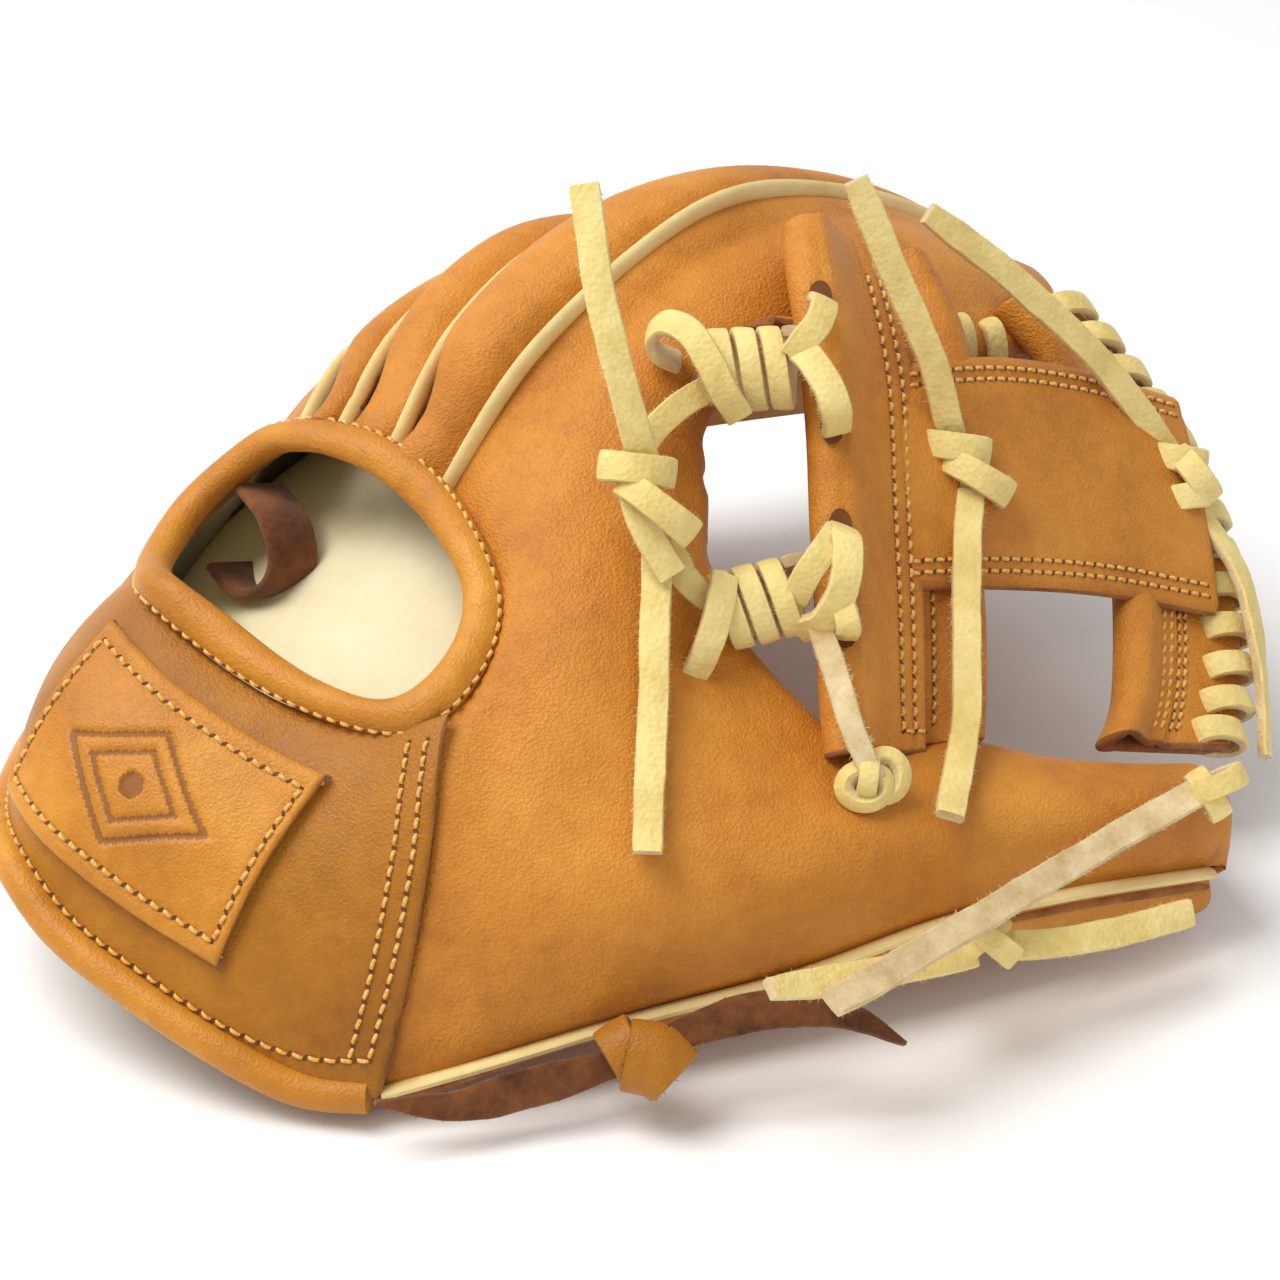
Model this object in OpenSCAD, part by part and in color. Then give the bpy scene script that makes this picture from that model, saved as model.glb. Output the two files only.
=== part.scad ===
// Open-back baseball glove for the left hand: leather panels, palm, lining,
// web, bindings, welts and laces, each its own sub-part. Units are mm, +Z is up.
// The glove lies on its pocket side, heel towards -X, thumb towards -Y.

/* [Leather] */
// Thickness of the outer leather panels
leather = 2.4; // [1.8:0.1:3]
// Thickness of the soft linings
lining = 1.2; // [0.8:0.1:2]
// Thickness of the padding in palm and thumb
padding = 2.2; // [1:0.1:3]
// Extra roundness of each finger back
pillow = 4; // [1:0.5:6]
// Roundness of the broad thumb and hand panel
crown = 13; // [8:0.5:16]

/* [Trim] */
// Radius of the rolled binding round the hand opening
binding_r = 3.6; // [2.5:0.1:4.5]
// Height of the welts above the seams
welt_h = 2; // [1:0.1:3]
// Width of the welts
welt_w = 2.6; // [1.5:0.1:4]

/* [Laces] */
// Width of the rawhide lace
lace_w = 6; // [4:0.5:8]
// Thickness of the rawhide lace
lace_t = 2.2; // [1.5:0.1:3]
// Turns in each lace coil between web and crotch
coil_turns = 4; // [3:1:5]
// Lace wraps over the free edge of the web
edge_wraps = 12; // [8:1:16]

/* [Web] */
// Radius of the leather rolls beside the web windows
roll_r = 5.5; // [4:0.5:7]
// Thickness of the centre post of the web
post_t = 5; // [3:0.5:7]

/* [Hidden] */

// The model is built round the heel and then moved so that its base centre is the origin.
shift = [-38.95, 20, -1.87];

// Back of the hand from heel to fingertips: one column for each finger seam.
fold_and_web_side = [[-70, -87, 9], [-42, -93, 35], [-6, -94, 58], [27, -80, 69], [30, -57, 88],
    [46, -40, 105], [78, -34, 112], [105, -33, 104], [130, -31, 94], [152, -27, 86]];
index_seam = [[-104, -20, 34], [-92, -20, 58], [-62, -19, 75], [-8, -20, 94], [14, -18, 117],
    [49, -11, 131], [78, -4, 133], [114, 7, 121], [144, 13, 106], [167, 15, 88]];
middle_seam = [[-102, 4, 36], [-91, 3, 60], [-60, 0, 77], [-11, -5, 98], [12, 7, 114],
    [45, 20, 121], [84, 32, 113], [124, 40, 97], [157, 43, 76], [184, 44, 54]];
ring_seam = [[-99, 22, 33], [-89, 20, 58], [-55, 16, 76], [-16, 8, 98], [8, 24, 108], [39, 38, 111],
    [70, 51, 99], [102, 60, 81], [133, 62, 62], [158, 61, 48]];
pinky_seam = [[-93, 45, 24], [-82, 42, 52], [-50, 30, 74], [-20, 18, 95], [3, 37, 99], [33, 56, 90],
    [58, 69, 75], [80, 76, 61], [98, 77, 51], [111, 75, 44]];
low_edge = [[-52, 80, 9], [-36, 85, 8], [-20, 90, 7], [-3, 94, 6], [17, 98, 6], [40, 100, 6],
    [62, 99, 6], [82, 94, 10], [97, 87, 19], [107, 80, 32]];
back_net = [fold_and_web_side, index_seam, middle_seam, ring_seam, pinky_seam, low_edge];

// Upper face of the palm leather from heel to fingertips, thumb side first.
palm_net = [
    [[-68, -84, 6], [-38, -80, 20], [-5, -76, 38], [28, -66, 56], [36, -48, 78],
        [52, -30, 93], [80, -24, 99], [107, -24, 92], [131, -23, 83], [151, -20, 76]],
    [[-80, -50, 16], [-48, -48, 38], [-15, -44, 56], [14, -36, 74], [34, -20, 92],
        [60, -6, 104], [90, 4, 101], [118, 10, 93], [143, 14, 82], [163, 15, 73]],
    [[-82, -10, 20], [-50, -8, 46], [-18, -4, 66], [10, 4, 82], [36, 14, 93],
        [64, 24, 95], [94, 31, 86], [126, 37, 73], [156, 41, 56], [180, 43, 40]],
    [[-72, 24, 18], [-43, 28, 42], [-16, 32, 62], [12, 38, 74], [38, 44, 80], [63, 50, 76],
        [90, 55, 65], [115, 58, 53], [137, 59, 43], [154, 58, 37]],
    [[-60, 52, 13], [-35, 57, 32], [-12, 64, 46], [13, 68, 53], [35, 71, 53], [56, 73, 48],
        [75, 74, 43], [91, 74, 39], [103, 72, 37], [111, 70, 37]],
    [[-50, 78, 5], [-28, 85, 4], [-4, 91, 3], [18, 95, 3], [40, 97, 3], [60, 95, 3.5],
        [78, 91, 7], [92, 85, 14], [101, 80, 22], [108, 76, 29]]];

// Outer and inner edge of the thumb panel, from thumb tip to the fold at the heel.
thumb_outer = [[106, -134, 19], [72, -130, 25], [43, -124, 26], [12, -116, 21],
    [-20, -106, 18], [-48, -97, 14], [-70, -87, 9]];
thumb_inner = [[114, -117, 33], [88, -112, 40], [66, -104, 48], [48, -100, 51],
    [38, -97, 54], [31, -91, 61], [27, -82, 68]];
// The same panel carried on past the fold, round the crotch to the index fingertip.
hand_outer = [[-70, -87, 9], [-60, -83, 31], [-50, -76, 51], [-39, -66, 69], [-22, -58, 76],
    [-13, -45, 87], [-8, -20, 94], [14, -18, 117], [49, -11, 131], [78, -4, 133],
    [114, 7, 121], [144, 13, 106], [167, 15, 88]];
hand_inner = [[27, -82, 68], [26, -76, 72], [26, -71, 76], [27, -66, 80], [28, -61, 84],
    [30, -57, 88], [33, -52, 93], [37, -47, 98], [46, -40, 105], [78, -34, 112],
    [105, -33, 104], [130, -31, 94], [152, -27, 86]];
// Outer side of the little finger, from the strap to the fingertip.
pinky_upper = [[-52, 24, 72], [-38, 31, 77], [-24, 26, 89], [-20, 18, 95], [3, 37, 99],
    [33, 56, 90], [58, 69, 75], [80, 76, 61], [98, 77, 51], [111, 75, 44]];
pinky_lower = [[-52, 80, 9], [-36, 85, 8], [-20, 90, 7], [-3, 94, 6], [17, 98, 6], [40, 100, 6],
    [62, 99, 6], [82, 94, 10], [97, 87, 19], [107, 80, 32]];
// Wrist strap, from its thumb seam to its little-finger seam.
strap_low = [[-70, -87, 9], [-80, -77, 9], [-90, -64, 15], [-99, -46, 22], [-105, -28, 28],
    [-106, -11, 35], [-101, 4, 35], [-91, 20, 32], [-77, 42, 25], [-64, 63, 15], [-52, 80, 9]];
strap_top = [[-39, -66, 69], [-44, -60, 67], [-49, -50, 66], [-54, -40, 66], [-59, -30, 68],
    [-64, -15, 72], [-66, 0, 76], [-63, 11, 75], [-58, 18, 74], [-55, 22, 73], [-52, 24, 72]];
// Hand opening, anticlockwise seen from above.
rim = [[-66, 0, 76], [-63, -15, 72], [-58, -30, 68], [-51, -45, 65.5], [-43, -58, 66],
    [-34, -62, 70], [-22, -58, 76], [-14, -50, 83], [-11, -38, 90], [-8, -20, 94],
    [-11, -5, 98], [-16, 8, 98], [-20, 18, 95], [-24, 27, 89], [-38, 32, 77], [-52, 25, 71],
    [-62, 11, 74]];
// Stitched patch on the strap.
patch_low = [[-88, -61, 31], [-97, -42, 37], [-102, -22, 42], [-101, -2, 46]];
patch_top = [[-61, -57, 64], [-68, -38, 67], [-73, -18, 70], [-75, 1, 75]];

// Web: the two rolls of the base bar, the centre post and the top bar.
base_roll_crotch = [[80, -24, 130], [71, -38, 126], [65, -50, 116], [59, -61, 104],
    [51, -73, 91], [45, -83, 79], [38, -94, 66], [35, -99, 60]];
base_roll_window = [[106, -27, 117], [104, -41, 108], [100, -53, 96], [95, -60, 88],
    [90, -67, 81], [81, -80, 66], [72, -92, 54], [67, -97, 48]];
post_upper = [[86, -50, 107], [112, -49, 101], [136, -50, 92], [158, -52, 81]];
post_lower = [[64, -80, 74], [91, -81, 66], [117, -83, 57], [141, -87, 47]];
top_roll = [[137, -27, 99], [142, -38, 88], [141, -54, 75], [137, -68, 63],
    [128, -82, 52], [115, -97, 40], [104, -105, 36]];
lace_edge = [[158, -22, 92], [163, -36, 80], [167, -50, 67], [165, -66, 54],
    [157, -82, 43], [146, -97, 33], [132, -109, 27]];
// Lace routes of the web.
upper_coil_axis = [[31, -52, 116], [60, -51, 112]];
lower_coil_axis = [[18, -80, 83], [46, -77, 80]];
// Free tails of the laces: from each knot to its bare end.
coil_tail_up = [[11, -65, 110], [8, -61, 127], [8, -53, 145], [12, -42, 162]];
coil_tail_down = [[13, -65, 99], [6.5, -74, 86.5], [-3.5, -87, 69], [-16, -103, 52.5]];
post_tail_up = [[90, -64, 92], [86, -60, 112], [80, -53, 132], [75, -47, 150]];
post_tail_down = [[88, -72, 86], [76, -86, 73.5], [62, -104, 57], [41.5, -124, 50.5]];
top_tail_up = [[154, -64, 71], [140, -57, 93], [121, -48, 115], [101, -39, 134]];
top_tail_down = [[155, -71, 62], [156, -86, 51], [150, -100, 37], [142, -112, 22]];
bar_tail = [[31.5, -112.5, 57], [30.5, -106.5, 66], [32.5, -98, 74], [35.5, -88, 79.5]];
thumb_tip_tail = [[97, -136, 42], [72.2, -133.4, 36], [34.1, -140, 37], [-2.8, -144.2, 36]];
thumb_loop_tail_out = [[45, -138, 26], [60, -142, 24], [75, -144, 22], [89, -145, 21]];
thumb_loop_tail_in = [[38, -137, 27], [21, -136.5, 30], [4.5, -135.5, 33.5], [-11.5, -136.5, 38.5]];
heel_tail_in = [[-30, -112, 14], [-45, -107, 12], [-60, -102, 11], [-74, -96, 14]];
heel_tail_out = [[-21, -118, 20], [-5, -125, 24], [9, -133, 22], [19, -140, 15]];

// ---- points, curves and surfaces ----
function lerp(a, b, t) = a + (b - a) * t;
function unit(v) = norm(v) > 0 ? v / norm(v) : [0, 0, 1];
function spline(p0, p1, p2, p3, t) =
    0.5 * (2 * p1 + (p2 - p0) * t + (2 * p0 - 5 * p1 + 4 * p2 - p3) * t * t
    + (3 * p1 - p0 - 3 * p2 + p3) * t * t * t);
// The point at s, counted in control points, of a smooth curve through p.
function at(p, s) =
    let (n = len(p) - 1, i = max(0, min(floor(s), n - 1)))
    spline(p[max(i - 1, 0)], p[i], p[i + 1], p[min(i + 2, n)], s - i);
// The same on a closed curve.
function ring_at(p, s) =
    let (n = len(p), i = floor(s))
    spline(p[(i + n - 1) % n], p[i % n], p[(i + 1) % n], p[(i + 2) % n], s - i);
// n + 1 points along the part of the curve from share a to share b of it.
function smooth(p, n, a = 0, b = 1) =
    [for (i = [0:n]) at(p, lerp(a, b, i / n) * (len(p) - 1))];
function smooth_ring(p, n) = [for (i = [0:n - 1]) ring_at(p, i * len(p) / n)];
// A point of the surface through a net of columns: u along a column, v across them.
function net_at(net, u, v) = at([for (c = net) at(c, u)], v);
// Unit normals of a grid, outward for rows and columns in the order used here.
function grid_normal(g, i, j) =
    let (r = len(g) - 1, c = len(g[0]) - 1)
    unit(cross(g[min(i + 1, r)][j] - g[max(i - 1, 0)][j],
        g[i][min(j + 1, c)] - g[i][max(j - 1, 0)]));
function normals(g) =
    [for (i = [0:len(g) - 1]) [for (j = [0:len(g[0]) - 1]) grid_normal(g, i, j)]];
// Grid g moved by d along the normals n.
function lifted(g, n, d) =
    [for (i = [0:len(g) - 1]) [for (j = [0:len(g[0]) - 1]) g[i][j] + n[i][j] * d]];
// A strip between two edges, bulged by up to h (and by a share of h at its two ends),
// and drawn in by gap at both edges.
function strip(a, b, nu, nv, h, gap = 0, from = 0, to = 1, ends = 1) =
    [for (i = [0:nu])
        let (s = lerp(from, to, i / nu) * (len(a) - 1), p = at(a, s), q = at(b, s),
            along = unit(at(a, s + 0.1) - at(a, s - 0.1) + at(b, s + 0.1) - at(b, s - 0.1)),
            out = unit(cross(along, q - p)), in = unit(q - p),
            bulge = h * lerp(ends, 1, sin(180 * i / nu)))
        [for (j = [0:nv]) let (t = j / nv)
            lerp(p + in * gap, q - in * gap, t) + out * bulge * sin(180 * t)]];
// Grid g with two more rows that turn down over a fingertip.
function capped(g) =
    let (r = len(g) - 1, n = normals(g), ahead = unit(g[r][1] - g[r - 1][1]))
    concat(g, [for (k = [1, 2]) [for (j = [0:len(g[0]) - 1])
        g[r][j] + ahead * (k == 1 ? 5 : 6) - n[r][j] * (k == 1 ? 6 : 13)]]);
// Grid g with two more columns that turn down along its first edge.
function lipped(g, d) =
    let (n = normals(g))
    [for (i = [0:len(g) - 1]) let (away = unit(g[i][0] - g[i][1]))
        concat([g[i][0] + away * 2 - n[i][0] * d, g[i][0] + away * 2.5 - n[i][0] * d / 2], g[i])];
// The outer skin of one finger, rounded over at its tip.
function finger(c, nu, nv, gap) =
    let (g = [for (i = [0:nu]) [for (j = [0:nv])
            net_at(back_net, lerp(3, 9, i / nu), c + lerp(gap, 1 - gap, j / nv))]],
        n = normals(g))
    capped([for (i = [0:nu]) [for (j = [0:nv]) g[i][j] + n[i][j] * pillow * sin(180 * j / nv)]]);
// Grid g without its outermost rows and columns.
function trimmed(g) = [for (i = [1:len(g) - 2]) [for (j = [1:len(g[0]) - 2]) g[i][j]]];
// Part of the surface through a net, moved along its normals by d.
function part_of(net, nu, nv, u0, u1, v0, v1, d) =
    let (g = [for (i = [0:nu]) [for (j = [0:nv])
            net_at(net, lerp(u0, u1, i / nu), lerp(v0, v1, j / nv))]])
    lifted(g, normals(g), d);

// ---- solids ----
// A sheet of thickness t below grid g.
module sheet(g, t) {
    r = len(g);
    c = len(g[0]);
    low = lifted(g, normals(g), -t);
    top = [for (row = g) for (p = row) p];
    under = [for (row = low) for (p = row) p];
    n = r * c;
    skin = [for (i = [0:r - 2]) for (j = [0:c - 2]) for (h = [0, 1])
        let (a = i * c + j, b = a + 1, d = a + c, e = d + 1) h == 0 ? [a, b, e] : [a, e, d]];
    edge = concat([for (j = [0:c - 1]) j], [for (i = [1:r - 1]) i * c + c - 1],
        [for (j = [1:c - 1]) r * c - 1 - j], [for (i = [1:r - 2]) (r - 1 - i) * c]);
    m = len(edge);
    sides = [for (k = [0:m - 1]) for (h = [0, 1])
        let (a = edge[k], b = edge[(k + 1) % m]) h == 0 ? [b, a, a + n] : [b, a + n, b + n]];
    back = [for (f = skin) [f[0] + n, f[2] + n, f[1] + n]];
    polyhedron(concat(top, under), concat(skin, back, sides));
}
// Eight points of a rounded rectangle.
function section(w, t) = [[-0.5, -0.2], [-0.36, -0.5], [0.36, -0.5], [0.5, -0.2],
    [0.5, 0.2], [0.36, 0.5], [-0.36, 0.5], [-0.5, 0.2]] * [[w, 0], [0, t]];
// Eight points of a circle.
function circle_section(r) = [for (k = [0:7]) [r * cos(45 * k), r * sin(45 * k)]];
// A section swept along a route; flat sides face the hints in up, one for each route point.
module sweep(route, sec, up, closed = false) {
    n = len(route);
    m = len(sec);
    pts = [for (i = [0:n - 1])
        let (p = route[i], before = route[closed ? (i + n - 1) % n : max(i - 1, 0)],
            after = route[closed ? (i + 1) % n : min(i + 1, n - 1)], t = unit(after - before),
            hint = is_list(up[0]) ? up[i] : up, side = unit(cross(t, hint)), face = cross(side, t))
        for (q = sec) p + side * q[0] + face * q[1]];
    rings = closed ? n : n - 1;
    walls = [for (i = [0:rings - 1]) for (k = [0:m - 1]) for (h = [0, 1])
        let (a = i * m + k, b = i * m + (k + 1) % m, c = ((i + 1) % n) * m + k,
            d = ((i + 1) % n) * m + (k + 1) % m) h == 0 ? [a, d, c] : [a, b, d]];
    ends = closed ? [] : [[for (k = [m - 1:-1:0]) k], [for (k = [0:m - 1]) (n - 1) * m + k]];
    polyhedron(pts, concat(walls, ends));
}
// A flat lace along a route.
module lace(route, n, up) {
    sweep(smooth(route, n), section(lace_w, lace_t), up);
}
// A round roll of leather along a route.
module roll(route, n, r, up = [0, 0, 1]) {
    sweep(smooth(route, n), circle_section(r), up);
}
// A welt: a flat strip standing on edge along a seam.
module welt(edge, n, up, from = 0, to = 1) {
    sweep(smooth(edge, n, from, to), section(welt_w, welt_h + 3), up);
}
// A lace tied in a knot about point c.
module knot(c, turn) {
    loop = [for (i = [0:25]) let (a = i * 360 / 26)
        [sin(a) + 2 * sin(2 * a), cos(a) - 2 * cos(2 * a), -1.3 * sin(3 * a)] * 2.3];
    translate(c) rotate(turn) sweep(loop, circle_section(1.6), [0.1, 0.2, 1], true);
}
// A lace wound in a coil along an axis.
module coil(axis, r, start) {
    d = unit(axis[1] - axis[0]);
    side = unit(cross(d, [0, 0, 1]));
    top = cross(side, d);
    steps = coil_turns * 12;
    turn = [for (i = [0:steps]) side * cos(start + i * 30) + top * sin(start + i * 30)];
    pts = [for (i = [0:steps]) lerp(axis[0], axis[1], i / steps) + turn[i] * r];
    sweep(pts, section(lace_w * 0.98, lace_t), turn);
}
// Moves a sub-part from the heel-based frame to the model origin.
module place() {
    translate(shift) children();
}

// ---- colours ----
tan_leather = [0.80, 0.53, 0.27];
strap_leather = [0.76, 0.49, 0.23];
cream_lace = [0.93, 0.86, 0.62];
cream_lining = [0.85, 0.83, 0.72];
brown_suede = [0.58, 0.37, 0.19];
felt_grey = [0.70, 0.68, 0.62];

// ---- thumb ----
thumb_skin_grid = lipped(strip(thumb_inner, thumb_outer, 18, 7, crown, 1.2, 0, 0.95), 9);
module thumb_back() {
    color(tan_leather) place() sheet(thumb_skin_grid, leather);
}
thumb_palm_grid = [for (i = [0:14])
    let (s = i / 14 * 5.9, p = at(thumb_inner, s), q = at(thumb_outer, s),
        along = unit(at(thumb_outer, s + 0.1) - at(thumb_outer, s - 0.1)),
        out = unit(cross(along, q - p)))
    [for (j = [0:6]) let (t = j / 6)
        lerp(p - out * 13, q - out * 4, t) - out * 8 * sin(180 * t)]];
thumb_palm_normals = normals(thumb_palm_grid);
module thumb_palm() {
    color(tan_leather) place() sheet(thumb_palm_grid, leather);
}
module thumb_lining() {
    g = lifted(thumb_palm_grid, thumb_palm_normals, padding + lining + 1);
    color(cream_lining) place() sheet(trimmed(g), lining);
}
module thumb_pad() {
    g = lifted(thumb_palm_grid, thumb_palm_normals, padding + 0.4);
    color(felt_grey) place() sheet(trimmed(g), padding);
}
module thumb_welt() {
    edge = [for (p = thumb_outer) p + [-0.5, 0.4, -1.6]];
    color(cream_lace) place() welt(edge, 18, [-0.3, -1, 0.4], 0.01, 0.965);
}
// Leather loop inside the thumb stall, for the thumb to go through.
module thumb_loop() {
    route = [[31, -116, 28], [34, -110, 28], [42, -104, 33], [46, -102, 40]];
    color(strap_leather) place()
        sweep(smooth(route, 10), section(11, 2), [0.3, 0.5, -0.8]);
}

// ---- back of the hand ----
module hand_back() {
    g = strip(hand_inner, hand_outer, 34, 7, 9, 1.2, 0.02, 1);
    color(tan_leather) place() sheet(capped(lipped(g, 9)), leather);
}
module middle_back() {
    color(tan_leather) place() sheet(finger(1, 14, 4, 0.06), leather);
}
module ring_back() {
    color(tan_leather) place() sheet(finger(2, 14, 4, 0.06), leather);
}
module little_back() {
    color(tan_leather) place() sheet(finger(3, 14, 4, 0.06), leather);
}
module little_side() {
    g = strip(pinky_upper, pinky_lower, 18, 5, 11, 1.2, 0.02, 1, 0.35);
    color(tan_leather) place() sheet(g, leather);
}
// A welt along the fingers' part of a seam, n pieces long and moved by d.
module seam_welt(seam, d, n, up) {
    place() welt([for (i = [3:9]) seam[i] + d], n, up, 0.03, 1);
}
module index_welt() {
    color(cream_lace) seam_welt(index_seam, [0, 0, -1], 16, [0, 0, 1]);
}
module middle_welt() {
    color(cream_lace) seam_welt(middle_seam, [0, 0, -1], 14, [0, 0.2, 1]);
}
module ring_welt() {
    color(cream_lace) seam_welt(ring_seam, [0, 0, -1], 14, [0, 0.4, 1]);
}
module little_welt() {
    color(cream_lace) seam_welt(pinky_seam, [0, -0.5, -1], 14, [0, 0.8, 1]);
}
module edge_welt() {
    edge = [for (p = low_edge) p + [0, -1, -1.6]];
    color(cream_lace) place() welt(edge, 16, [0, 1, 0.3], 0.02, 1);
}

// ---- palm and linings ----
module palm_leather() {
    color(tan_leather) place() sheet(part_of(palm_net, 20, 15, 0, 9.1, 0.02, 5, 0), leather);
}
module palm_pad() {
    g = part_of(palm_net, 10, 8, 0.4, 4.6, 0.4, 4.5, padding + 0.4);
    color(felt_grey) place() sheet(g, padding);
}
module palm_lining() {
    g = part_of(palm_net, 14, 12, 0.2, 8.6, 0.3, 4.35, padding + lining + 1);
    color(cream_lining) place() sheet(g, lining);
}
module back_lining() {
    g = part_of(back_net, 10, 10, 3.4, 8.4, 0.35, 4.3, -leather - 2);
    color(cream_lining) place() sheet(g, lining);
}
// Walls of lining between the finger stalls.
module stall_walls() {
    color(cream_lining) place() for (v = [1:3]) {
        g = [for (i = [0:7])
            let (u = lerp(4.4, 8.2, i / 7), p = net_at(back_net, u, v) - [0, 0, 8],
                q = net_at(palm_net, u, v) + [0, 0, 7]) [p, lerp(p, q, 0.5), q]];
        sheet(g, lining);
    }
}
// Leather loop for the little finger, fixed to the lining inside the hand opening.
module little_finger_loop() {
    route = [[-38, 22, 64], [-34, 12, 74], [-26, 6, 80], [-17, 8, 82], [-8, 15, 78], [-6, 24, 72]];
    color(strap_leather) place()
        sweep(smooth(route, 12), section(13, 2.2), [0.2, -0.6, 1]);
}

// ---- wrist ----
strap_grid = strip(strap_top, strap_low, 24, 6, 7, 1, 0.01, 0.99, 0.3);
module wrist_strap() {
    color(strap_leather) place() sheet(strap_grid, leather);
}
module strap_lining() {
    g = lifted(strap_grid, normals(strap_grid), -leather - 0.5);
    color(cream_lining) place() sheet(trimmed(g), lining);
}
// The patch, with a lozenge outline sunk into its face.
module strap_patch() {
    g = strip(patch_top, patch_low, 10, 5, 5);
    color(tan_leather) place() difference() {
        sheet(lifted(g, normals(g), 2), leather);
        translate([-88, -29, 56]) rotate([0, -52, 14]) {
            rotate([0, 0, 45]) difference() {
                cube([20, 20, 14], center = true);
                cube([16.5, 16.5, 15], center = true);
            }
        }
    }
}
module opening_binding() {
    middle = [-37, -15, 82];
    route = [for (p = smooth_ring(rim, 44)) p + unit(middle - p) * 2.5];
    color(tan_leather) place() sweep(route, circle_section(binding_r), [-0.6, 0, 0.8], true);
}
module heel_binding() {
    color(strap_leather) place() roll(strap_low, 26, binding_r, [-1, 0, 0.3]);
}
// Lace that closes the heel, along the palm's lower end.
module heel_lace() {
    g = part_of(palm_net, 2, 10, 0, 0.3, 0.4, 4.6, -leather - 1.4);
    color(brown_suede) place() sweep(g[1], section(7, 2.4), [-0.5, 0, -1]);
}

// ---- web ----
// Base bar: two rolls with a flat band between them.
module web_base() {
    inner = [for (i = [0:7]) lerp(base_roll_crotch[i], base_roll_window[i], 0.12)];
    outer = [for (i = [0:7]) lerp(base_roll_crotch[i], base_roll_window[i], 0.88)];
    color(tan_leather) place() {
        roll(base_roll_crotch, 14, roll_r, [0.8, -0.5, 0.6]);
        sheet(strip(inner, outer, 12, 3, 2.2), 3.4);
        roll(base_roll_window, 14, roll_r, [0.8, -0.5, 0.6]);
    }
}
// Centre post, between the base bar and the top bar.
module web_post() {
    g = strip(post_lower, post_upper, 8, 4, 1.5);
    color(tan_leather) place() sheet(lifted(g, normals(g), -3), post_t);
}
// Top bar: a roll and the flat leather beyond it.
module web_top() {
    near = [for (i = [0:6]) lerp(top_roll[i], lace_edge[i], 0.15)];
    far = [for (i = [0:6]) lerp(lace_edge[i], top_roll[i], 0.03)];
    color(tan_leather) place() {
        roll(top_roll, 12, roll_r, [0.8, -0.5, 0.6]);
        sheet(strip(near, far, 12, 3, 1.5), 3.6);
    }
}
// Lace wrapped over and over along the web's free edge.
module web_edge_lace() {
    color(cream_lace) place() for (k = [0:edge_wraps - 1]) {
        s = lerp(0.35, 5.7, k / (edge_wraps - 1));
        p = at(lace_edge, s);
        in = unit(at(top_roll, s) - p);
        out = unit(cross(in, at(lace_edge, s + 0.1) - at(lace_edge, s - 0.1)));
        turn = [for (a = [0:45:359]) -in * 5 * cos(a) + out * 3.6 * sin(a)];
        sweep([for (t = turn) p + in * 2 + t], section(5.2, 1.8), turn, true);
    }
}
module upper_coil() {
    color(cream_lace) place() coil(upper_coil_axis, 5.5, 200);
}
module lower_coil() {
    color(cream_lace) place() coil(lower_coil_axis, 5.5, 200);
}
// The straight laces inside the two coils.
module coil_core() {
    upper = [[12, -60, 105], [20, -52, 113], [34, -51, 114], [62, -53, 109],
        [72, -50, 108], [74, -46, 107]];
    lower = [[14, -74, 88], [20, -79, 83], [47, -79, 84], [60, -76, 84], [62, -72, 83]];
    color(cream_lace) place() {
        lace(upper, 12, [-0.4, -0.7, 0.5]);
        lace(lower, 12, [-0.4, -0.7, 0.5]);
    }
}
// Lace that ties the fingertips together.
module fingertip_lace() {
    route = [[160, 0, 84], [172, 12, 80], [182, 28, 66], [184, 42, 54], [168, 56, 50],
        [140, 64, 47], [114, 73, 42]];
    color(cream_lace) place() lace(route, 16, [1, 0, 0.4]);
}
// Lace that ties the web's top bar to the index finger.
module index_side_lace() {
    route = [[100, -31, 92], [112, -30, 90], [124, -29, 86], [136, -28, 81], [146, -26, 76]];
    color(cream_lace) place() lace(route, 10, [0, -1, -0.3]);
}

// ---- knots ----
module coil_knot() {
    color(cream_lace) place() knot([11, -66, 105], [50, 10, -30]);
}
module post_knot() {
    color(cream_lace) place() knot([91, -67, 88], [50, 10, -30]);
}
module top_knot() {
    color(cream_lace) place() knot([155, -67, 67], [60, 10, -30]);
}
module bar_knot() {
    color(cream_lace) place() knot([31.5, -111.5, 56.5], [30, -10, -30]);
}
module thumb_tip_knot() {
    color(cream_lace) place() knot([101.8, -136, 41.3], [41, 0, 0]);
}
module thumb_loop_knot() {
    color(cream_lace) place() knot([42, -135, 26], [70, 0, -30]);
}
module heel_knot() {
    color(strap_leather) place() knot([-26, -116, 12], [80, 0, -30]);
}

// ---- free lace tails ----
hang = [-0.5, -0.7, 0.5];
module coil_knot_tail_up() {
    color(cream_lace) place() lace(coil_tail_up, 8, hang);
}
module coil_knot_tail_down() {
    color(cream_lace) place() lace(coil_tail_down, 8, hang);
}
module post_knot_tail_up() {
    color(cream_lace) place() lace(post_tail_up, 8, hang);
}
module post_knot_tail_down() {
    color(cream_lace) place() lace(post_tail_down, 8, hang);
}
module top_knot_tail_up() {
    color(cream_lace) place() lace(top_tail_up, 8, hang);
}
module top_knot_tail_down() {
    color(cream_lace) place() lace(top_tail_down, 8, hang);
}
module bar_knot_tail() {
    color(cream_lace) place() lace(bar_tail, 6, hang);
}
module thumb_tip_knot_tail() {
    color(cream_lace) place() lace(thumb_tip_tail, 10, [0, -0.5, 1]);
}
module thumb_loop_knot_tail_out() {
    color(cream_lace) place() lace(thumb_loop_tail_out, 6, [0, -0.7, 1]);
}
module thumb_loop_knot_tail_in() {
    color(cream_lace) place() lace(thumb_loop_tail_in, 6, [0, -0.7, 1]);
}
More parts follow.
